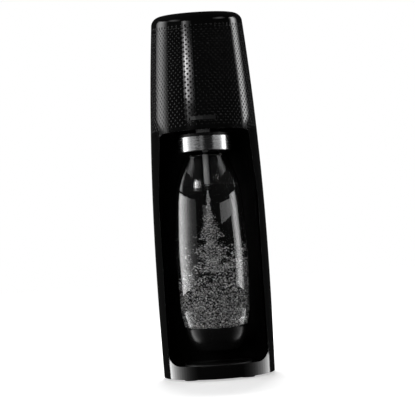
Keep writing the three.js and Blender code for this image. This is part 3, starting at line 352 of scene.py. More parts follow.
def sweep(name, first, last, low, high, glows):
    """Upright slices between two azimuths, each with its own glow. The azimuth runs from the camera's side
    (0) round the right (90) to the back."""
    step = (last - first) / len(glows)
    width = 2 * PANEL_DISTANCE * math.tan(math.radians(abs(step)) / 2)
    middle = (low + high) / 2
    for k, glow in enumerate(glows):
        angle = math.radians(first + step * (k + 0.5))
        place = (PANEL_DISTANCE * math.sin(angle), -PANEL_DISTANCE * math.cos(angle), middle)
        lamp_at(name, place, (0, 0, middle), width, high - low, glow * math.pi * width * (high - low))


print("panels stand", PANEL_DISTANCE, "m away")

# %% The panels
HEAD_BAND = (0.47, 1.0)
BAY_BAND = (0.03, 0.445)
BAY_EDGE_BAND = (0.03, 0.36)
COLLAR_BAND = (0.34, 0.415)
SHOULDER_BAND = (0.95, 1.35)
FOOT_BAND = (-0.9, -0.07)
STRIP_BANDS = ((0.555, 0.62, 0.1), (0.62, 0.7, 0.75), (0.7, 0.8, 1.35), (0.8, 0.87, 0.8), (0.87, 0.94, 0.25))
STRIP_GLOWS = (4, 14, 9, 4, 1.8, 0.7)
sweep("head_left", -134, -97, *HEAD_BAND, (0.8, 1.7, 2.3, 2.3, 1.8, 1.0, 0.35))
sweep("head_right", 110, 134, *HEAD_BAND, (0.8, 3.4, 3.8, 3.2, 1.6, 0.5))
for low, high, share in STRIP_BANDS:
    sweep("head_strip", -50, -20, low, high, [share * glow for glow in STRIP_GLOWS])
sweep("bay_left", -125, -42, *BAY_BAND, (0.8, 2.4, 3.6, 3.4, 3.0, 2.2, 1.2, 0.6, 0.35, 0.25))
sweep("shoulder_left", -98, -58, *SHOULDER_BAND, (0.4, 0.9, 1.0, 0.7, 0.3))
sweep("shoulder_right", 58, 98, *SHOULDER_BAND, (0.3, 0.7, 1.0, 0.9, 0.4))
sweep("bay_front", -20, -6, *COLLAR_BAND, (0.5, 0.5))
sweep("bay_right_near", 36, 74, *COLLAR_BAND, (0.9, 1.0, 1.2))
sweep("bay_right", 74, 106, *BAY_BAND, (1.6, 3.4, 3.2, 1.4))
sweep("bay_right_edge", 122, 128, *BAY_EDGE_BAND, (2.6,))
sweep("foot_left", -134, -60, *FOOT_BAND, (5.2, 4.2, 3.1, 2.3, 1.6, 1.1, 0.7, 0.4, 0.22, 0.12, 0.05))
sweep("foot_right", 66, 138, *FOOT_BAND, (0.05, 0.1, 0.2, 0.35, 0.6, 1.0, 1.4, 1.9, 2.5, 3.0))
for lamp in (lamp_at("overhead", (0, 0.9, 2.1), (0, 0, 0), 0.4, 0.4, 36),
             lamp_at("fill", (-0.45, -1.2, 0.35), (0, 0, 0.15), 0.5, 0.5, 5.4)):
    lamp.visible_glossy = False
    lamp.visible_transmission = False

# %% [markdown]
# ## Plastics and rubber
# The casing is injection moulded in gloss black: a nearly black body under a clear, hard skin. What tells it
# from paint is a very slight waviness from the mould and a film of handling marks that only shows in its
# roughness. The inner parts come from a spark-eroded mould, so they carry a fine even grain.


# %% Gloss black, matt black, rubber
def gloss_black():
    finish = Finish("gloss_black_casing")
    cloud = finish.noise(0.03)
    wipe = finish.noise(0.004, 4, (1, 1, 0.25))
    wave = finish.noise(0.012, 1)
    smudge = (cloud - 0.45) * wipe
    return finish.done(finish.shader(
        Base_Color=finish.blend(cloud, grey(0.0022), grey(0.0036)),
        Roughness=0.07 + 0.12 * smudge,
        IOR=1.5,
        Normal=finish.bump(wave, 0.00001)))


def matt_black(name, tone, size=0.6 * MM, depth=0.03 * MM, rough=0.42, shine=0.5):
    finish = Finish(name)
    grain = finish.noise(size, 2)
    cloud = finish.noise(0.02)
    return finish.done(finish.shader(
        Base_Color=finish.blend(cloud, grey(tone), grey(tone * 1.4)),
        Roughness=rough + 0.16 * grain,
        Specular_IOR_Level=shine,
        Normal=finish.bump(grain, depth)))


def rubber():
    finish = Finish("black_rubber")
    bloom = finish.noise(0.006)
    grain = finish.noise(0.0004, 2)
    return finish.done(finish.shader(
        Base_Color=finish.blend(bloom, grey(0.009), grey(0.018)),
        Roughness=0.72 + 0.18 * grain,
        Specular_IOR_Level=0.3,
        Normal=finish.bump(grain, 0.00004)))


GLOSS = gloss_black()
MATT = matt_black("matt_black_moulding", 0.006)
CUP_BLACK = matt_black("bottle_foot_plastic", 0.004, size=0.5 * MM, depth=0.01 * MM, rough=0.16, shine=0.8)
TRAY_BLACK = matt_black("tray_plastic", 0.007, size=0.9 * MM, depth=0.04 * MM, rough=0.5)
BAY_BLACK = matt_black("bay_moulding", 0.0022, size=0.8 * MM, depth=0.01 * MM, rough=0.3, shine=0.1)
RUBBER = rubber()
print("plastics:", GLOSS.name, MATT.name, CUP_BLACK.name, TRAY_BLACK.name, BAY_BLACK.name, RUBBER.name)

# %% [markdown]
# ## Metals
# Brushed steel is bright because its scratches all run one way. Round the collar they run along the ring,
# so the noise is stretched until its lumps are long and flat, and it drives both the roughness and a bump.
# Turned brass has finer rings, and the gas cylinder is painted over aluminium with a light speckle.


# %% Steel, brass, painted alloy
def brushed(name, colour, streak, rough, depth=0.012 * MM, spread=0.1):
    finish = Finish(name)
    fine = finish.noise(0.0009, 3, streak)
    broad = finish.noise(0.005, 2, streak)
    return finish.done(finish.shader(
        Base_Color=finish.blend(broad, colour, tuple(c * 0.86 for c in colour[:3]) + (1,)),
        Metallic=1.0,
        Roughness=rough + spread * fine,
        Normal=finish.bump(fine, depth)))


def painted_alloy():
    finish = Finish("cylinder_paint")
    speckle = finish.noise(0.0005, 2)
    scuff = finish.noise(0.009, 5, (1, 1, 0.3)).above(0.68)
    return finish.done(finish.shader(
        Base_Color=finish.blend(scuff, (0.47, 0.49, 0.51, 1), (0.36, 0.37, 0.38, 1)),
        Metallic=0.55,
        Roughness=0.3 + 0.15 * speckle + 0.2 * scuff,
        Normal=finish.bump(speckle, 0.00002)))


STEEL_COLOUR = (0.66, 0.665, 0.67, 1)
COLLAR_STEEL = brushed("brushed_collar_steel", STEEL_COLOUR, (0.05, 0.05, 2.2), 0.05, 0.001 * MM, 0.36)
SHEET_STEEL = brushed("sheet_steel", (0.5, 0.51, 0.52, 1), (1.5, 0.1, 1.5), 0.28)
BRASS = brushed("turned_brass", (0.7, 0.5, 0.22, 1), (0.15, 0.15, 3), 0.18)
ALLOY = painted_alloy()
print("metals:", COLLAR_STEEL.name, SHEET_STEEL.name, BRASS.name, ALLOY.name)

# %% [markdown]
# ## Clear things
# The bottle is clear blown plastic and the water in it is clearer still. Both bend what is behind them, so
# both are real refracting shaders. Lamps shine straight through for shadows, or the inside would go dark.
# Bubbles are little mirrors of the room in all directions; a pale, half-gloss ball with a painted reflection
# for its colour does that for less work.


# %% Bottle plastic, water, bubbles, nozzle grey, name plate
def clear(name, ior, rough, tint=grey(1)):
    finish = Finish(name)
    flow = finish.noise(0.03, 1, (1, 1, 0.4))
    glass = finish.shader(Base_Color=tint, Roughness=rough, IOR=ior, Transmission_Weight=1.0,
                          Normal=finish.bump(flow, 0.00004))
    through = finish.node("ShaderNodeBsdfTransparent", {}, {"Color": tint})
    shadow = finish.node("ShaderNodeLightPath", output="Is Shadow Ray")
    return finish.done(finish.node("ShaderNodeMixShader", {}, {0: shadow, 1: glass, 2: through}))


def bubble_painted_reflection():
    finish = Finish("bubble_painted_reflection")
    reflection_chance = finish.node("ShaderNodeNewGeometry", output="Random Per Island")
    return finish.done(finish.shader(
        # The pale colour is a painted reflection of the room, brighter or dimmer at random from bubble to
        # bubble.
        Base_Color=finish.blend(reflection_chance ** 2.2, grey(0.2), grey(1.0)),
        Roughness=0.12,
        Specular_IOR_Level=0.9))


def nozzle_grey():
    finish = Finish("nozzle_grey_plastic")
    grain = finish.noise(0.0008, 3, (1, 1, 0.2))
    return finish.done(finish.shader(
        Base_Color=finish.blend(grain, grey(0.2), grey(0.3)),
        Roughness=0.3 + 0.12 * grain,
        Normal=finish.bump(grain, 0.00002)))


PET = clear("clear_bottle_plastic", 1.42, 0.015, grey(0.97))
WATER = clear("water", 1.33, 0.0)
BUBBLE = bubble_painted_reflection()
NOZZLE = nozzle_grey()
PLATE = matt_black("name_plate_satin", 0.012, size=0.3 * MM, depth=0.01 * MM, rough=0.36)
print("clear:", PET.name, WATER.name, "and", BUBBLE.name, NOZZLE.name, PLATE.name)

# %% [markdown]
# ## Handing pieces in
# Every piece ends the same way: it gets its material, soft shading except at real edges, an edge roll where
# the mould leaves one, and the body that it moves with. One helper does that for all of them.


# %% Handing a piece in
def finished(name, mesh, material, body, replaced=(), smooth=35, bevel=0.0):
    mesh.validate()
    piece = bpy.data.objects.new(name, mesh)
    bpy.context.collection.objects.link(piece)
    mesh.materials.append(material)
    mesh.polygons.foreach_set("use_smooth", [True] * len(mesh.polygons))
    mesh.set_sharp_from_angle(angle=math.radians(smooth))
    if bevel:
        roll = piece.modifiers.new("roll", "BEVEL")
        roll.harden_normals = True
        roll.width = bevel
        roll.segments = 2
        roll.limit_method = "ANGLE"
        roll.angle_limit = math.radians(50)
        apply_modifiers(piece)
    if replaced:
        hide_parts(*replaced)
    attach(piece, body)
    print(name, len(piece.data.polygons), "faces on", body)
    return piece


def apply_modifiers(piece):
    bpy.context.view_layer.update()
    ready = piece.evaluated_get(bpy.context.evaluated_depsgraph_get())
    mesh = bpy.data.meshes.new_from_object(ready)
    old = piece.data
    piece.modifiers.clear()
    piece.data = mesh
    bpy.data.meshes.remove(old)


print("ready to hand pieces in")

# %% [markdown]
# ## Making shells
# Each casing is a thin shell with an outside, an inside and a rim between them. A shell is drawn on a grid:
# a set of cells says which part of the grid is plastic, and a rule gives each grid corner its place at any
# depth under the skin. Every edge that belongs to one cell only is a rim, so openings close themselves.


# %% The shell maker
def mesh_from(points, faces, name):
    mesh = bpy.data.meshes.new(name)
    mesh.from_pydata([tuple(p) for p in points], [], faces)
    form = bmesh.new()
    form.from_mesh(mesh)
    bmesh.ops.remove_doubles(form, verts=form.verts, dist=1e-6)
    bmesh.ops.recalc_face_normals(form, faces=form.faces)
    form.to_mesh(mesh)
    form.free()
    return mesh


def shell_mesh(name, cells, place, special=None, around=None):
    """A closed shell over a set of (i, j) cells. place(i, j, inner) gives a corner's place.
    special maps a cell to a function that draws that cell's outside itself, and around is the number of
    columns after which the grid meets itself."""
    points, faces, seen = [], [], {}

    def corner(i, j, inner):
        key = (i, j, inner)
        if key not in seen:
            seen[key] = len(points)
            points.append(place(i, j, inner))
        return seen[key]

    edges = {}
    for i, j in cells:
        n = (i + 1) % around if around else i + 1
        loop = [(i, j), (n, j), (n, j + 1), (i, j + 1)]
        for a, b in zip(loop, loop[1:] + loop[:1]):
            edges[(a, b)] = edges.get((a, b), 0) + 1
        if special is None or (i, j) not in special:
            faces.append([corner(*c, False) for c in loop])
        faces.append([corner(*c, True) for c in reversed(loop)])
    if special:
        for draw in set(special.values()):
            draw(points, faces, corner)
    for a, b in edges:
        if (b, a) not in edges:
            faces.append([corner(*b, False), corner(*a, False), corner(*a, True), corner(*b, True)])
    return mesh_from(points, faces, name)


print("ready to make shells")

# %% [markdown]
# ## Turning pieces
# Anything round is a profile revolved about an upright axis, as on a lathe, and a smooth line through a few
# points gives the profile of a blown or spun wall.


# %% The lathe
def lathe_mesh(name, profile, centre, sides=96):
    """Revolve a profile of (radius, height) points about an upright axis."""
    points, faces = [], []
    for k in range(sides):
        turn = 2 * math.pi * k / sides
        for r, z in profile:
            points.append(Vector((centre[0] + r * math.cos(turn), centre[1] + r * math.sin(turn), z)))
    count = len(profile)
    for k in range(sides):
        here, there = k * count, (k + 1) % sides * count
        for i in range(count - 1):
            faces.append([here + i, there + i, there + i + 1, here + i + 1])
    form = bmesh.new()
    made = [form.verts.new(p) for p in points]
    for face in faces:
        form.faces.new([made[v] for v in face])
    bmesh.ops.remove_doubles(form, verts=form.verts, dist=1e-7)
    bmesh.ops.dissolve_degenerate(form, edges=form.edges, dist=1e-7)
    bmesh.ops.recalc_face_normals(form, faces=form.faces)
    mesh = bpy.data.meshes.new(name)
    form.to_mesh(mesh)
    form.free()
    return mesh


def spline(points, steps):
    """A smooth line through points."""
    line = []
    for k in range(len(points) - 1):
        p0, p1, p2 = points[max(k - 1, 0)], points[k], points[k + 1]
        p3 = points[min(k + 2, len(points) - 1)]
        for s in range(steps):
            t = s / steps
            line.append(tuple(
                0.5 * (2 * b + (c - a) * t + (2 * a - 5 * b + 4 * c - d) * t * t
                       + (3 * b - a - 3 * c + d) * t ** 3)
                for a, b, c, d in zip(p0, p1, p2, p3)))
    return line + [points[-1]]


def mix(a, b, t):
    return a + (b - a) * t


print("ready to turn pieces")

# %% [markdown]
# ## The head cap and its dimples
# The cap wraps the front and sides of the head and closes over its top. Its skin is pressed all over with
# small round dimples in a staggered lattice. Each dimple is modelled: its cell of the grid is filled by a
# ring of twelve corners on the skin, a ring part of the way down and one point at the bottom.

# %% The cap's grid
COLUMN_PITCH = 3.1 * MM
ROW_PITCH = 6.3 * MM
DIMPLE_RADIUS = 1.32 * MM
DIMPLE_DEPTH = 0.62 * MM
DIMPLE_FOOT = EDGE_Z + 2.6 * MM
FIELD_ROOM = 1.5 * MM
ARC_STEPS = 400
measured_z = (EDGE_Z + SEAM_Z) / 2
side = side_angle(measured_z)
arc_length = 0.0
arc_table = [(0.0, 0.0)]
for k in range(ARC_STEPS):
    here = on_body(side * k / ARC_STEPS, measured_z)
    there = on_body(side * (k + 1) / ARC_STEPS, measured_z)
    arc_length += (there - here).length
    arc_table.append((arc_length, side * (k + 1) / ARC_STEPS))
COLUMNS = 2 * round(arc_length / COLUMN_PITCH)
ROWS = int((RIM_Z - FIELD_ROOM - DIMPLE_FOOT) / ROW_PITCH)


def share_to_angle(share):
    """The angle that lies a share of the way from the front to the side, measured along the skin."""
    want = abs(share) * arc_length
    low, high = 0, ARC_STEPS
    while high - low > 1:
        middle = (low + high) // 2
        if arc_table[middle][0] < want:
            low = middle
        else:
            high = middle
    t = (want - arc_table[low][0]) / (arc_table[high][0] - arc_table[low][0])
    return math.copysign(mix(arc_table[low][1], arc_table[high][1], t), share)


print(COLUMNS, "columns and", ROWS, "rows of dimples")

# %% [markdown]
# The cap's grid climbs the wall, turns in over the rounded rim and crosses the deck to the button's hole.
# Below the seam only the front and sides are plastic, and above it the grid goes all the way round.

# %% Where the cap's grid corners lie
REAR_CELLS = 48
PER_ROW = 4
RIM_STEPS = 10
DECK_STEPS = 6
BUTTON_GAP = 0.5 * MM
foot_rows = 2
field_rows = PER_ROW * ROWS
field_top = DIMPLE_FOOT + ROWS * ROW_PITCH
heights = [mix(EDGE_Z, DIMPLE_FOOT, k / foot_rows) for k in range(foot_rows)]
heights += [DIMPLE_FOOT + ROW_PITCH * k / PER_ROW for k in range(field_rows + 1)]
heights += [z for z in (SEAM_Z, RIM_Z) if z > field_top + GAP]
WALL_TOP = len(heights) - 1
SEAM_ROW = next(k for k, z in enumerate(heights) if z >= SEAM_Z)
heights[SEAM_ROW] = SEAM_Z
front_cells = 2 * COLUMNS
whole_cells = front_cells + REAR_CELLS
button_low, button_high = corners("carbonating_button")
BUTTON_Y = (button_low.y + button_high.y) / 2 - MIDDLE_Y
BUTTON_HALF_X = (button_high.x - button_low.x) / 2
BUTTON_HALF_Y = (button_high.y - button_low.y) / 2


def cap_angle(i, z):
    if i <= front_cells:
        here = side_angle(z) / side
        return share_to_angle(2 * i / front_cells - 1) * here
    start = side_angle(z)
    return mix(start, 2 * math.pi - start, (i - front_cells) / REAR_CELLS)


def cap_place(i, j, inner):
    inset = WALL if inner else 0.0
    if j <= WALL_TOP:
        low = min(int(j), WALL_TOP - 1)
        z = mix(heights[low], heights[low + 1], j - low)
        return placed(leaned(on_body(cap_angle(i, z), z, inset)))
    if j <= WALL_TOP + RIM_STEPS:
        return placed(leaned(on_body(cap_angle(i, RIM_Z), RIM_Z, inset, (j - WALL_TOP) / RIM_STEPS)))
    t = (j - WALL_TOP - RIM_STEPS) / DECK_STEPS
    angle = cap_angle(i, RIM_Z)
    edge = on_body(angle, RIM_Z, inset, 1.0)
    hole = Vector(((BUTTON_HALF_X + BUTTON_GAP) * math.sin(angle),
                   BUTTON_Y - (BUTTON_HALF_Y + BUTTON_GAP) * math.cos(angle), edge.z))
    return placed(leaned(edge.lerp(hole, t)))


print("the cap's grid is", whole_cells, "by", WALL_TOP + RIM_STEPS + DECK_STEPS)

# %% [markdown]
# A dimple takes up a block of the grid two cells wide and four tall, so the block's border has twelve corners
# and each ring of the dimple has twelve to match.

# %% One dimple
RING_SIDES = 12
RING_TURNS = [math.radians(30 * k - 120) for k in range(RING_SIDES)]
RING = [(math.cos(turn), math.sin(turn)) for turn in RING_TURNS]
BORDER = [(0, 0), (1, 0), (2, 0), (2, 1), (2, 2), (2, 3), (2, 4), (1, 4), (0, 4), (0, 3), (0, 2), (0, 1)]
RING_SHARES = ((1, 0), (0.82, 0.62))  # of the dimple's radius and of its depth


def dimple(column, row):
    """Fills the block of cells 2 wide and 4 tall whose lower left corner is given."""

    def draw(points, faces, corner):
        outer = [corner(column + di, row + dj, False) for di, dj in BORDER]
        centre = cap_place(column + 1, row + 2, False)
        right = (points[outer[4]] - points[outer[10]]).normalized()
        up = (points[outer[7]] - points[outer[1]]).normalized()
        inward = up.cross(right).normalized()
        rings = [outer]
        for radius, depth in RING_SHARES:
            ring = []
            for x, y in RING:
                way_i = x * radius * DIMPLE_RADIUS * 2 / COLUMN_PITCH
                way_j = y * radius * DIMPLE_RADIUS * PER_ROW / ROW_PITCH
                ring.append(len(points))
                points.append(cap_place(column + 1 + way_i, row + 2 + way_j, False)
                              + inward * DIMPLE_DEPTH * depth)
            rings.append(ring)
        bottom = len(points)
        points.append(centre + inward * DIMPLE_DEPTH)
        for low, high in zip(rings, rings[1:]):
            for k in range(RING_SIDES):
                n = (k + 1) % RING_SIDES
                faces.append([low[k], low[n], high[n], high[k]])
        for k in range(RING_SIDES):
            faces.append([rings[-1][k], rings[-1][(k + 1) % RING_SIDES], bottom])

    return draw


print("a dimple is", 2 * DIMPLE_RADIUS, "m across and", DIMPLE_DEPTH, "m deep")

# %% [markdown]
# Every second column of dimples is shifted up by half a pitch. A block that would stick out of the dimpled
# field stays plain.

# %% The cap
cap_cells = set()
for j in range(WALL_TOP + RIM_STEPS + DECK_STEPS):
    last = front_cells if j < SEAM_ROW else whole_cells
    cap_cells.update((i, j) for i in range(last))
dimpled = {}
for c in range(COLUMNS):
    for r in range(ROWS):
        row = foot_rows + PER_ROW * r + (PER_ROW // 2 if c % 2 else 0)
        if row + PER_ROW > foot_rows + field_rows:
            continue
        draw = dimple(2 * c, row)
        for i in range(2):
            for j in range(PER_ROW):
                dimpled[(2 * c + i, row + j)] = draw
finished("head_cap_shell", shell_mesh("head_cap_shell", cap_cells, cap_place, dimpled, whole_cells), GLOSS,
         "housing", ["head_cap"], smooth=50)
print(len(set(dimpled.values())), "dimples")

# %% [markdown]
# ## The tower's front
# Two pillars and a low front strip frame the bay. Their grid follows the opening: below its foot the strip
# fills the front, and above it the pillars' inner edges run out round the corner, up, and in at the head.
# The edges are rolled a little, as a mould leaves them, and that roll catches thin lines of light.

# %% Tower grid
OPENING_HALF = 55.5 * MM
OPENING_FOOT = 16.5 * MM
OPENING_CORNER = 13 * MM
OPENING_NECK = 50 * MM
OPENING_NECK_Z = 200 * MM
OPENING_TOP_CORNER = 5 * MM
BASE_Z = 2 * MM
PILLAR_CELLS = 26
STRIP_CELLS = 60


def opening_half(z):
    """Half the opening's width at a height."""
    if z <= OPENING_FOOT:
        return OPENING_HALF - OPENING_CORNER
    if z < OPENING_FOOT + OPENING_CORNER:
        rise = OPENING_FOOT + OPENING_CORNER - z
        return OPENING_HALF - OPENING_CORNER + math.sqrt(OPENING_CORNER ** 2 - rise ** 2)
    if z < OPENING_NECK_Z:
        return OPENING_HALF
    round_z = EDGE_Z - OPENING_TOP_CORNER
    half = mix(OPENING_HALF, OPENING_NECK, min((z - OPENING_NECK_Z) / (round_z - OPENING_NECK_Z), 1))
    if z > round_z:
        half -= OPENING_TOP_CORNER - math.sqrt(max(OPENING_TOP_CORNER ** 2 - (z - round_z) ** 2, 0))
    return half


strip_rows = [mix(BASE_Z, OPENING_FOOT, k / 7) for k in range(8)]
tower_rows = list(strip_rows)
for k in range(1, 13):
    turn = math.pi / 2 * k / 12
    tower_rows.append(OPENING_FOOT + OPENING_CORNER * (1 - math.cos(turn)))
tower_rows += [mix(tower_rows[-1], OPENING_NECK_Z, k / 24) for k in range(1, 25)]
tower_rows += [mix(OPENING_NECK_Z, EDGE_Z - OPENING_TOP_CORNER, k / 10) for k in range(1, 11)]
tower_rows += [EDGE_Z - OPENING_TOP_CORNER + (OPENING_TOP_CORNER - GAP) * math.sin(math.pi / 2 * k / 6)
               for k in range(1, 7)]


def tower_place(i, j, inner):
    z = tower_rows[j]
    inset = WALL if inner else 0.0
    rear = side_angle(z, inset)
    lip = math.asin(opening_half(z) / (half_width(z) - inset))
    if i <= PILLAR_CELLS:
        angle = mix(-rear, -lip, i / PILLAR_CELLS)
    elif i >= PILLAR_CELLS + STRIP_CELLS:
        angle = mix(lip, rear, (i - PILLAR_CELLS - STRIP_CELLS) / PILLAR_CELLS)
    else:
        angle = mix(-lip, lip, (i - PILLAR_CELLS) / STRIP_CELLS)
    return placed(on_body(angle, z, inset))


tower_cells = set()
for j in range(len(tower_rows) - 1):
    for i in range(2 * PILLAR_CELLS + STRIP_CELLS):
        in_strip = PILLAR_CELLS <= i < PILLAR_CELLS + STRIP_CELLS
        if not in_strip or j < len(strip_rows) - 1:
            tower_cells.add((i, j))
finished("tower_front", shell_mesh("tower_front", tower_cells, tower_place), GLOSS, "housing",
         ["front_housing"], smooth=40, bevel=0.3 * MM)

# %% [markdown]
# ## The bay
# The bay's liner is one smooth trough: two straight sides, round corners and a flat back, with a soft fillet
# where the walls turn into the floor. It is drawn as one strip that starts at the front edge of the floor,
# crosses it, turns up the fillet and climbs the wall.

# %% Bay liner
BAY_HALF = 54 * MM
BAY_BACK = 9 * MM
BAY_CORNER = 35 * MM
BAY_FLOOR_Z = 14.2 * MM
BAY_TOP_Z = corners("bay_liner")[1].z
BAY_FILLET = 6 * MM
LINER_WALL = 1.2 * MM
SIDE_CELLS, CORNER_CELLS, BACK_CELLS = 8, 18, 8
BAY_CELLS = 2 * SIDE_CELLS + 2 * CORNER_CELLS + BACK_CELLS
FLOOR_ROWS, FILLET_ROWS, LINER_ROWS = 8, 6, 24


def front_of(x, z, inset):
    """How far forward the body reaches at a place across its width."""
    half = half_width(z) - inset
    depth = half * (BELLY_HALF_DEPTH - inset) / (BELLY_HALF_WIDTH - inset)
    return -depth * math.sqrt(max(1 - (x / half) ** 2, 0))


def bay_plan(i, grow, z):
    """A point of the bay's plan, from the left front end round the back to the right front end."""
    if i > BAY_CELLS / 2:
        there = bay_plan(BAY_CELLS - i, grow, z)
        return (-there[0], there[1])
    half, back, radius = BAY_HALF + grow, BAY_BACK + grow, BAY_CORNER + grow
    if i <= SIDE_CELLS:
        front = min(front_of(half, z, WALL + 2 * GAP), back - radius)
        return (-half, mix(front, back - radius, i / SIDE_CELLS))
    if i <= SIDE_CELLS + CORNER_CELLS:
        turn = math.pi / 2 * (i - SIDE_CELLS) / CORNER_CELLS
        return (-half + radius - radius * math.cos(turn), back - radius + radius * math.sin(turn))
    return (mix(-half + radius, 0, (i - SIDE_CELLS - CORNER_CELLS) / (BACK_CELLS / 2)), back)


def bay_place(i, j, inner):
    grow = LINER_WALL if inner else 0.0
    if j <= FLOOR_ROWS:
        x, y = bay_plan(i, -BAY_FILLET, BAY_FLOOR_Z)
        reach = BAY_HALF - BAY_FILLET
        front_x = mix(-reach, reach, i / BAY_CELLS)
        front_y = front_of(front_x, BAY_FLOOR_Z, WALL + 2 * GAP)
        t = j / FLOOR_ROWS
        return placed(Vector((mix(front_x, x, t), mix(front_y, y, t), BAY_FLOOR_Z - grow)))
    if j <= FLOOR_ROWS + FILLET_ROWS:
        turn = math.pi / 2 * (j - FLOOR_ROWS) / FILLET_ROWS
        out = BAY_FILLET * (1 - math.sin(turn))
        z = BAY_FLOOR_Z + BAY_FILLET * (1 - math.cos(turn))
        x, y = bay_plan(i, grow * math.sin(turn) - out, z)
        return placed(Vector((x, y, z - grow * math.cos(turn))))
    z = mix(BAY_FLOOR_Z + BAY_FILLET, BAY_TOP_Z, (j - FLOOR_ROWS - FILLET_ROWS) / LINER_ROWS)
    x, y = bay_plan(i, grow, z)
    return placed(Vector((x, y, z)))


bay_cells = {(i, j) for i in range(BAY_CELLS) for j in range(FLOOR_ROWS + FILLET_ROWS + LINER_ROWS)}
finished("bay_liner_shell", shell_mesh("bay_liner_shell", bay_cells, bay_place), BAY_BLACK, "housing",
         ["bay_liner"], smooth=50)

# %% [markdown]
# ## The rear cover
# The cover that hides the gas cylinder is the same shell, from the seam round the back, with a window for the
# push latch cut through it.

# %% Rear cover
COVER_CELLS, COVER_ROWS = 120, 60
COVER_FOOT_Z = 5.6 * MM
COVER_TOP_Z = SEAM_Z - GAP


def cover_place(i, j, inner):
    z = mix(COVER_FOOT_Z, COVER_TOP_Z, j / COVER_ROWS)
    inset = WALL if inner else 0.0
    depth = (half_width(z) - inset) * (BELLY_HALF_DEPTH - inset) / (BELLY_HALF_WIDTH - inset)
    start = math.acos(-(SPLIT_Y + GAP) / depth)
    angle = mix(start, 2 * math.pi - start, i / COVER_CELLS)
    return placed(leaned(on_body(angle, z, inset)))


def rounded_box(name, low, high, radius, axis):
    """A box whose edges along one axis are rounded, as a cutter or a small part."""
    form = bmesh.new()
    bmesh.ops.create_cube(form, size=1)
    middle, size = (low + high) / 2, high - low
    for v in form.verts:
        v.co = Vector([m + c * s for m, c, s in zip(middle, v.co, size)])
    along = [e for e in form.edges
             if abs((e.verts[0].co - e.verts[1].co).normalized()[axis]) > 0.9]
    bmesh.ops.bevel(form, geom=along, offset=radius, segments=8, profile=0.5, affect="EDGES")
    mesh = bpy.data.meshes.new(name)
    form.to_mesh(mesh)
    form.free()
    return mesh


latch_low, latch_high = corners("cover_latch")
cover_mesh = shell_mesh("rear_cover_shell", {(i, j) for i in range(COVER_CELLS) for j in range(COVER_ROWS)},
                        cover_place)
LATCH_HALF = Vector((12.3, 0, 7.3)) * MM
LATCH_CORNER = 3.8 * MM
CUT_REACH = Vector((0, 20, 0)) * MM
latch_middle = (latch_low + latch_high) / 2
cutter = bpy.data.objects.new("latch_window", rounded_box(
    "latch_window", latch_middle - LATCH_HALF - CUT_REACH, latch_middle + LATCH_HALF + CUT_REACH,
    LATCH_CORNER, 1))
bpy.context.collection.objects.link(cutter)
blank = bpy.data.objects.new("cover_blank", cover_mesh)
bpy.context.collection.objects.link(blank)
window = blank.modifiers.new("window", "BOOLEAN")
window.operation = "DIFFERENCE"
window.object = cutter
window.solver = "EXACT"
apply_modifiers(blank)
cover_mesh = blank.data
for spent in (blank, cutter):
    bpy.data.objects.remove(spent)
finished("rear_cover_shell", cover_mesh, GLOSS, "rear_cover", ["rear_cover"], smooth=40)

# %% [markdown]
# ## Dishes and plates
# Several pieces are a closed plan carried through a short profile: the drip tray's pan and the button's
# dome. One maker carries any plan through a list of insets and heights and closes both ends with a fan.



# %% The dish maker
def dish_mesh(name, plan, profile, sides, finish_point=None):
    """plan(k, inset) gives the k-th point of the plan; the profile lists (inset, height)."""
    points, faces = [], []
    for inset, z in profile:
        for k in range(sides):
            x, y = plan(k, inset)
            points.append(Vector((x, y, z)))
    for row in range(len(profile) - 1):
        for k in range(sides):
            n = (k + 1) % sides
            a, b = row * sides, (row + 1) * sides
            faces.append([a + k, a + n, b + n, b + k])
    for row in (0, len(profile) - 1):
        middle = sum((points[row * sides + k] for k in range(sides)), Vector()) / sides
        points.append(middle)
        for k in range(sides):
            faces.append([row * sides + k, row * sides + (k + 1) % sides, len(points) - 1])
    if finish_point:
        points = [finish_point(p) for p in points]
    return mesh_from(points, faces, name)


print("ready to make dishes")

# %% [markdown]
# The drip tray's plan is round in front, to follow the body, and square with round corners at the back. Its
# profile goes up the outside, over the rim and down to the pan. The plan's points are shared out between
# the front, the sides and the corners, which keeps the faces round the rim even.

# %% Drip tray
tray_low, tray_high = corners("drip_tray")
TRAY_BACK = 3 * MM
TRAY_HALF = tray_high.x
TRAY_FRONT = BELLY_HALF_DEPTH - 12 * MM
TRAY_CORNER = 17.5 * MM
TRAY_SIDES = 96
TRAY_SIDE_RUN = 0.35  # share of a quarter of the points that goes along a side
TRAY_BACK_RUN = 0.35  # and from the corner to the middle of the back, against the corner's 1
AXIS_Y = BOTTLE_Y - MIDDLE_Y


def tray_plan(k, inset):
    """Half the points go round the front's half ellipse, the rest along the sides and round the back."""
    t = 4 * k / TRAY_SIDES
    half, back, radius = TRAY_HALF - inset, TRAY_BACK - inset, TRAY_CORNER - inset
    if t <= 2:
        turn = math.pi * (1 + t / 2)
        return half * math.cos(turn), AXIS_Y + (TRAY_FRONT - inset + AXIS_Y) * math.sin(turn) + MIDDLE_Y
    mirror = 1
    if t > 3:
        t, mirror = 6 - t, -1
    turn = t - 2
    if turn < TRAY_SIDE_RUN:
        return mirror * half, mix(AXIS_Y, back - radius, turn / TRAY_SIDE_RUN) + MIDDLE_Y
    turn = (turn - TRAY_SIDE_RUN) / (1 - TRAY_SIDE_RUN) * (1 + TRAY_BACK_RUN)
    if turn < 1:
        angle = math.pi / 2 * turn
        return (mirror * (half - radius + radius * math.cos(angle)),
                back - radius + radius * math.sin(angle) + MIDDLE_Y)
    return mirror * (half - radius) * (1 + TRAY_BACK_RUN - turn) / TRAY_BACK_RUN, back + MIDDLE_Y


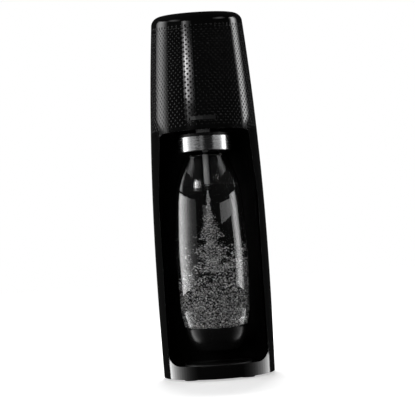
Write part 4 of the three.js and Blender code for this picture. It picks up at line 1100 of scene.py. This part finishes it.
TRAY_EDGE = 0.4 * MM
TRAY_RIM = 2 * MM
PAN_Z = tray_low.z + 1 * MM
tray_profile = [(TRAY_EDGE, tray_low.z), (0, tray_low.z + TRAY_EDGE), (0, tray_high.z - TRAY_EDGE),
                (TRAY_EDGE / 3, tray_high.z - TRAY_EDGE / 3), (TRAY_EDGE, tray_high.z),
                (TRAY_RIM - TRAY_EDGE, tray_high.z), (TRAY_RIM, tray_high.z - TRAY_EDGE),
                (TRAY_RIM, PAN_Z + 2 * TRAY_EDGE), (TRAY_RIM + 2 * TRAY_EDGE, PAN_Z)]
finished("drip_pan", dish_mesh("drip_pan", tray_plan, tray_profile, TRAY_SIDES), TRAY_BLACK, "tray",
         ["drip_tray"], smooth=35)

# %% [markdown]
# The button is a cap with a rolled edge and a slight dish for the finger, leaned back with the head's top.
# Its dish is drawn as a list of insets and heights, since a disc with a plain bevel would look stamped.
# A stem under it comes down on the lever.

# %% Button and its stem
BUTTON_SIDES = 96
BUTTON_EDGE = 2 * MM
BUTTON_WALL = 2.4 * MM
SKIRT_Z = TOP_Z - 7 * MM
UNDER_Z = TOP_Z - BUTTON_WALL
STEM_R = 3 * MM


def button_plan(k, inset):
    turn = 2 * math.pi * k / BUTTON_SIDES
    return (BUTTON_HALF_X - inset) * math.cos(turn), BUTTON_Y + (BUTTON_HALF_Y - inset) * math.sin(turn)


button_profile = [(10 * MM, UNDER_Z), (BUTTON_WALL + BUTTON_EDGE, UNDER_Z),
                  (BUTTON_WALL, UNDER_Z - BUTTON_EDGE), (BUTTON_WALL, SKIRT_Z), (0, SKIRT_Z)]
for k in range(7):
    turn = math.pi / 2 * k / 6
    button_profile.append((BUTTON_EDGE * (1 - math.cos(turn)), TOP_Z - BUTTON_EDGE * (1 - math.sin(turn))))
for inset, dip in ((6, 0.06), (12, 0.22), (18, 0.32), (23, 0.36)):
    button_profile.append((inset * MM, TOP_Z - dip * MM))
finished("button_top", dish_mesh("button_top", button_plan, button_profile, BUTTON_SIDES,
                                 lambda p: placed(leaned(p))), GLOSS, "button",
         ["carbonating_button"], smooth=40)
STEM_Y = 22 * MM + MIDDLE_Y
stem_z = button_low.z
stem_line = [(0, stem_z + 0.2 * MM), (STEM_R / 2, stem_z + 0.4 * MM), (STEM_R, stem_z + 1.4 * MM),
             (STEM_R, UNDER_Z), (0, UNDER_Z)]
finished("button_stem", lathe_mesh("button_stem", stem_line, (0, STEM_Y), 32), MATT, "button")

# %% [markdown]
# ## The collar
# The steel collar is a turned band with its edges broken. A collar, a tube and a pipe are the same profile
# at other sizes, so the profile is a helper. The band gets 128 sides, because its long bright blocks would
# show any coarser facets.

# %% Collar
AXIS = (0.0, BOTTLE_Y)
COLLAR_R = (collar_high.x - collar_low.x) / 2
COLLAR_WALL = 1.8 * MM
COLLAR_EDGE = 0.6 * MM


def ring_profile(inner, outer, low, high, edge):
    round_in = 0.3 * edge
    return [(inner, low + edge), (inner + edge, low), (outer - edge, low), (outer - round_in, low + round_in),
            (outer, low + edge), (outer, high - edge), (outer - round_in, high - round_in),
            (outer - edge, high), (inner + edge, high), (inner, high - edge), (inner, low + edge)]


collar_line = ring_profile(COLLAR_R - COLLAR_WALL, COLLAR_R, collar_low.z, collar_high.z, COLLAR_EDGE)
finished("collar_band", lathe_mesh("collar_band", collar_line, AXIS, 128), COLLAR_STEEL, "holder",
         ["collar_ring"], smooth=12)

# %% [markdown]
# ## The bottle
# The bottle is blown, so its side is one smooth line through a few widths and heights. It stands in a black
# foot cup, which it enters with a pocket, and at the top its neck carries the ring that the jaws hold.

# %% Bottle
BOTTLE_R = 41.5 * MM
BOTTLE_WALL = 1 * MM
FOOT_Z = corners("bottle_base")[0].z
MOUTH_Z = corners("bottle_shell")[1].z
NECK_Z = MOUTH_Z - 14 * MM
NECK_R = 15 * MM
OUTLINE = [(0.87, 0.125), (0.95, 0.2), (0.99, 0.38), (1, 0.5), (0.97, 0.63), (0.9, 0.8), (0.79, 0.89),
           (0.58, 0.985)]
side_line = spline([(r * BOTTLE_R, FOOT_Z + z * (NECK_Z - FOOT_Z)) for r, z in OUTLINE], 10)
CUP_HEIGHT = 25.5 * MM
CUP_WIDE = BOTTLE_R * OUTLINE[0][0] - 2 * MM
CUP_WALL = 1.5 * MM
CUP_TAPER = 0.32


def cup_radius(t):
    """The cup's outer radius at a share of its height."""
    return CUP_WIDE - CUP_WIDE * CUP_TAPER * (1 - t) ** 2


def cup_pocket(inset):
    rows = [0.15, 0.3, 0.45, 0.6, 0.8, 1]
    line = [(0, FOOT_Z + CUP_WALL + inset), (cup_radius(0) - CUP_WALL - inset, FOOT_Z + CUP_WALL + inset)]
    return line + [(cup_radius(t) - CUP_WALL - inset, FOOT_Z + CUP_HEIGHT * t) for t in rows]


def neck(inset):
    """The line from the shoulder up the neck, with the support ring on the outside."""
    if inset:
        return [(NECK_R - inset - MM, NECK_Z), (NECK_R - inset - MM, MOUTH_Z)]
    ring_z = MOUTH_Z - 11 * MM
    line = [(NECK_R + 0.5 * MM, NECK_Z), (NECK_R + 0.5 * MM, ring_z), (18.2 * MM, ring_z + 0.2 * MM),
            (18.5 * MM, ring_z + MM), (18.2 * MM, ring_z + 1.8 * MM), (NECK_R, ring_z + 2 * MM)]
    return line + [(NECK_R, MOUTH_Z - 0.4 * MM), (NECK_R - 0.4 * MM, MOUTH_Z)]


outer_line = cup_pocket(GAP) + side_line + neck(0)
inner_line = cup_pocket(GAP + BOTTLE_WALL) + [(r - BOTTLE_WALL, z) for r, z in side_line] + neck(BOTTLE_WALL)
finished("bottle_blown", lathe_mesh("bottle_blown", outer_line + inner_line[::-1], AXIS, 112), PET, "bottle",
         ["bottle_shell"], smooth=30)

# %% [markdown]
# The foot cup stands on a narrow ring, swells as it rises and ends in a rolled rim that the bottle sits in.
# Its pocket is the line that the bottle's own foot is made from, with a small gap, so the two always fit.

# %% Bottle foot
CUP_HOLLOW = 0.8 * MM
cup_foot = cup_radius(0)
cup_line = [(0, FOOT_Z + CUP_HOLLOW), (cup_foot - 5 * MM, FOOT_Z + CUP_HOLLOW), (cup_foot - 4 * MM, FOOT_Z),
            (cup_foot - 1.5 * MM, FOOT_Z), (cup_foot - 0.4 * MM, FOOT_Z + 0.5 * MM)]
cup_line += [(cup_radius(t), FOOT_Z + CUP_HEIGHT * t)
             for t in (0.06, 0.12, 0.2, 0.3, 0.4, 0.5, 0.6, 0.7, 0.8, 0.9)]
cup_line += [(cup_radius(1), FOOT_Z + CUP_HEIGHT - 0.5 * MM), (cup_radius(1) - 0.5 * MM, FOOT_Z + CUP_HEIGHT)]
finished("bottle_foot", lathe_mesh("bottle_foot", cup_line + cup_pocket(0)[::-1], AXIS, 112), CUP_BLACK,
         "bottle", ["bottle_base"], smooth=40)

# %% [markdown]
# ## The nozzle
# The nozzle is a straight tube that hangs into the bottle. Its tip narrows outside and inside, so that the
# gas leaves it as a jet. The tube is soft grey plastic, so a plain lathe profile with broken edges is enough.

# %% Nozzle
tube_low, tube_high = corners("nozzle_tube")
tip_low, tip_high = corners("nozzle_tip")
TUBE_R = (tube_high.x - tube_low.x) / 2
BORE = 1.2 * MM
TIP_EDGE = 0.2 * MM
tube_line = ring_profile(BORE, TUBE_R, tube_low.z, tube_high.z, GAP)
finished("nozzle_pipe", lathe_mesh("nozzle_pipe", tube_line, AXIS, 48), NOZZLE, "holder",
         ["nozzle_tube"], smooth=12)
cone_z = mix(tip_low.z, tip_high.z, 0.4)
tip_line = [(BORE / 2, tip_low.z), (TUBE_R * 0.6, tip_low.z), (TUBE_R * 0.7, tip_low.z + TIP_EDGE),
            (TUBE_R, cone_z), (TUBE_R, tip_high.z - TIP_EDGE), (TUBE_R - TIP_EDGE, tip_high.z),
            (BORE, tip_high.z), (BORE / 2, cone_z), (BORE / 2, tip_low.z)]
finished("nozzle_point", lathe_mesh("nozzle_point", tip_line, AXIS, 48), NOZZLE, "holder",
         ["nozzle_tip"], smooth=40)

# %% [markdown]
# ## The rubber feet
# Each foot is a moulded button with a hollow sole, a soft edge and a peg that plugs into the base plate.
# All four are the same small profile, so a loop turns one at the place of each packed foot.

# %% Rubber feet
PEG_R = 2.5 * MM
PEG_FOOT_Z = 1.7 * MM
for node in ("foot_front_left", "foot_front_right", "foot_rear_left", "foot_rear_right"):
    low, high = corners(node)
    centre = ((low.x + high.x) / 2, (low.y + high.y) / 2)
    radius = (high.x - low.x) / 2
    line = [(0, 0.4 * MM), (radius - 2.4 * MM, 0.4 * MM), (radius - 1.6 * MM, 0), (radius - 0.9 * MM, 0),
            (radius - 0.25 * MM, 0.3 * MM), (radius, MM), (radius, PEG_FOOT_Z), (PEG_R, PEG_FOOT_Z),
            (PEG_R, high.z - 0.5 * MM), (PEG_R - 0.5 * MM, high.z), (0, high.z)]
    finished(node + "_pad", lathe_mesh(node + "_pad", line, centre, 48), RUBBER, "housing",
             [node], smooth=40)

# %% [markdown]
# ## The gas cylinder
# The cylinder behind the rear cover is drawn from one slug of aluminium: a thick floor with a rolled edge,
# straight sides and a domed shoulder that is spun in to the neck.

# %% Gas cylinder
gas_low, gas_high = corners("cylinder_body")
GAS_R = (gas_high.x - gas_low.x) / 2
GAS_AXIS = (0.0, (gas_low.y + gas_high.y) / 2)
GAS_WALL = 3 * MM
GAS_EDGE = 5 * MM
GAS_NECK_R = 13 * MM
GAS_BORE = 7 * MM
GAS_NECK = 8 * MM
GAS_DOME = 30 * MM
foot_z, dome_z, neck_z = gas_low.z, gas_high.z - GAS_NECK - GAS_DOME, gas_high.z - GAS_NECK
gas_outer = [(0, foot_z + 2 * MM), (GAS_R - 12 * MM, foot_z + 1.2 * MM), (GAS_R - 6 * MM, foot_z)]
for k in range(7):
    turn = math.pi / 2 * k / 6
    gas_outer.append((GAS_R - GAS_EDGE * (1 - math.sin(turn)), foot_z + GAS_EDGE * (1 - math.cos(turn))))
gas_outer += spline([(GAS_R, dome_z - 40 * MM), (GAS_R, dome_z), (GAS_R * 0.92, dome_z + GAS_DOME * 0.4),
                     (GAS_R * 0.72, dome_z + GAS_DOME * 0.75), (GAS_NECK_R, neck_z)], 8)
gas_outer += [(GAS_NECK_R, gas_high.z - 0.4 * MM), (GAS_NECK_R - 0.4 * MM, gas_high.z)]
gas_inner = [(r - GAS_WALL, z) for r, z in gas_outer if foot_z + GAS_EDGE < z < neck_z - 2 * MM]
gas_inner = [(0, foot_z + GAS_EDGE)] + gas_inner + [(GAS_BORE, neck_z), (GAS_BORE, gas_high.z)]
finished("gas_bottle", lathe_mesh("gas_bottle", gas_outer + gas_inner[::-1], GAS_AXIS, 96), ALLOY, "cylinder",
         ["cylinder_body"], smooth=35)

# %% [markdown]
# ## Water and gas
# The machine is caught in the middle of a burst of gas. The water is one solid that fills the bottle with a
# hair of room at the wall, and the gas blows a small hollow into it round the nozzle's tip.

# %% Water
WATER_Z = 215 * MM
WATER_ROOM = 0.06 * MM
water_line = [(r - WATER_ROOM, z + WATER_ROOM) for r, z in cup_pocket(GAP + BOTTLE_WALL)]
water_line[0] = (0, water_line[0][1])
inner_side = [(r - BOTTLE_WALL - WATER_ROOM, z) for r, z in side_line]
water_line += [(r, z) for r, z in inner_side if z < WATER_Z]
last, after = [p for p in inner_side if p[1] < WATER_Z][-1], [p for p in inner_side if p[1] >= WATER_Z][0]
edge_r = mix(last[0], after[0], (WATER_Z - last[1]) / (after[1] - last[1]))
water_line += [(edge_r, WATER_Z), (edge_r - MM, WATER_Z - 0.5 * MM), (8 * MM, WATER_Z - 0.5 * MM),
               (5.2 * MM, WATER_Z - 0.6 * MM), (4.4 * MM, WATER_Z - 1.4 * MM), (4.2 * MM, WATER_Z - 3 * MM),
               (3 * MM, WATER_Z - 5.2 * MM), (0, WATER_Z - 6.4 * MM)]
finished("water", lathe_mesh("water", water_line, AXIS, 112), WATER, "bottle", [], smooth=35)

# %% [markdown]
# The bubbles are thousands of small balls. Gas leaves the tip as a thin spike that widens and frays on its
# way down, and breaks into a cloud in the lower part of the bottle. Seeded dice and cloudy noise place them,
# so they come out the same on every run.

# %% Rules for a bubble's place
SEED = 7
dice = random.Random(SEED)


def inside_radius(z):
    """The water's radius at a height."""
    for (r0, z0), (r1, z1) in zip(water_line, water_line[1:]):
        if z0 <= z <= z1 and z1 > z0:
            return mix(r0, r1, (z - z0) / (z1 - z0))
    return 0.0


JET_TOP = WATER_Z - 7 * MM
WATER_FOOT = FOOT_Z + CUP_HEIGHT
bubbles = []


def clump(x, y, z, size):
    """Cloudy noise from about -1 to 1, so that the bubbles gather in clumps."""
    return noise.noise(Vector((x, y, z)) / size)


def add_bubble(x, y, z, radius):
    room = inside_radius(z) - radius - 0.2 * MM
    away = math.hypot(x, y)
    if room > 0 and away > room:
        x, y = x * room / away, y * room / away
    if room > 0:
        bubbles.append((Vector((x, y + BOTTLE_Y, z)), radius))


JET_LINE = [(JET_TOP, 0.3 * MM), (198 * MM, 1.7 * MM), (180 * MM, 4.6 * MM), (158 * MM, 8.5 * MM),
            (118 * MM, 13 * MM)]


def jet_radius(z):
    for (z0, r0), (z1, r1) in zip(JET_LINE, JET_LINE[1:]):
        if z1 <= z <= z0:
            return mix(r0, r1, (z0 - z) / (z0 - z1))
    return JET_LINE[-1][1]


print("the jet starts at", round(JET_TOP, 4), "and the water's foot is at", round(WATER_FOOT, 4))

# %% Throwing the bubbles
JET_BUBBLES = 2300
ALL_BUBBLES = 8300
CLOUD_MIDDLE_Z = 100 * MM
CLOUD_DEPTH = 75 * MM
while len(bubbles) < JET_BUBBLES:
    down = dice.random() ** 0.8
    z = mix(JET_TOP, JET_LINE[-1][0], down)
    ragged = 1 + 1.4 * clump(0, 5 * MM * dice.random(), z, 7 * MM)
    away = jet_radius(z) * ragged * dice.random() ** 0.55
    turn = dice.uniform(0, 2 * math.pi)
    size = dice.choice((0.25, 0.35, 0.45, 0.6)) * MM * mix(0.8, 1.4, down)
    add_bubble(away * math.cos(turn), away * math.sin(turn), z, size)
while len(bubbles) < ALL_BUBBLES:
    z = mix(WATER_FOOT + MM, JET_TOP - 8 * MM, dice.random() ** 1.1)
    away = inside_radius(z) * dice.random() ** 0.3
    turn = math.pi * dice.uniform(-1.06, 0.06)
    x, y = away * math.cos(turn), away * math.sin(turn)
    above = (z - CLOUD_MIDDLE_Z) / CLOUD_DEPTH
    lean_in = 0.25 * x / BOTTLE_R
    if clump(x, y, z, 11 * MM) + 0.35 + lean_in < 1.25 * above:
        continue
    size = dice.choice((0.3, 0.4, 0.5, 0.7, 0.9)) * MM
    add_bubble(x, y, z, size)

print(len(bubbles), "bubbles placed")

# %% [markdown]
# One ball is made once, and every bubble is a copy of it, turned and flattened a little by the dice. All
# copies share one mesh, because thousands of separate balls would be slow to handle.

# %% Bubble mesh
form = bmesh.new()
bmesh.ops.create_icosphere(form, subdivisions=1, radius=1)
ball_points = [v.co.copy() for v in form.verts]
ball_faces = [[v.index for v in f.verts] for f in form.faces]
form.free()
points, faces = [], []
for centre, radius in bubbles:
    spin = Quaternion((dice.gauss(0, 1), dice.gauss(0, 1), dice.gauss(0, 1), dice.gauss(0, 1))).normalized()
    start = len(points)
    flat = dice.uniform(0.7, 1.0)
    for p in ball_points:
        q = spin @ p
        points.append(centre + Vector((q.x, q.y, q.z * flat)) * radius)
    faces += [[start + v for v in face] for face in ball_faces]
bubble_mesh = bpy.data.meshes.new("bubbles")
bubble_mesh.from_pydata([tuple(p) for p in points], [], faces)
finished("bubbles", bubble_mesh, BUBBLE, "bottle", [], smooth=180)

# %% [markdown]
# ## Finishes for the works inside
# The pieces that stay as they were packed get their finish here: moulded black, sheet steel, brass, rubber
# hose and the grey nozzle block.

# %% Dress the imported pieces
DRESS = {
    PLATE: ["name_plate"],
    MATT: ["base_plate", "chassis", "head_floor", "button_frame", "holder_carriage", "snap_jaw_left",
           "snap_jaw_right", "cover_latch", "cylinder_cradle", "pivot_bracket", "cylinder_socket"],
    RUBBER: ["bottle_seal", "seal_washer", "gas_hose"],
    NOZZLE: ["nozzle_block"],
    BRASS: ["cylinder_valve", "valve_body", "outlet_fitting", "inlet_fitting", "relief_valve"],
    SHEET_STEEL: ["valve_bracket", "valve_lever", "plunger", "return_spring", "cylinder_pin",
                  "lever_pivot_pin", "holder_pivot_pin", "base_screw_front_left", "base_screw_front_right",
                  "base_screw_rear_left", "base_screw_rear_right", "valve_screw_left", "valve_screw_right",
                  "bracket_screw_left", "bracket_screw_right"],
}
for material, names in DRESS.items():
    for name in names:
        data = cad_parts[name].data
        data.materials.clear()
        data.materials.append(material)
print(sum(len(names) for names in DRESS.values()), "packed pieces dressed")
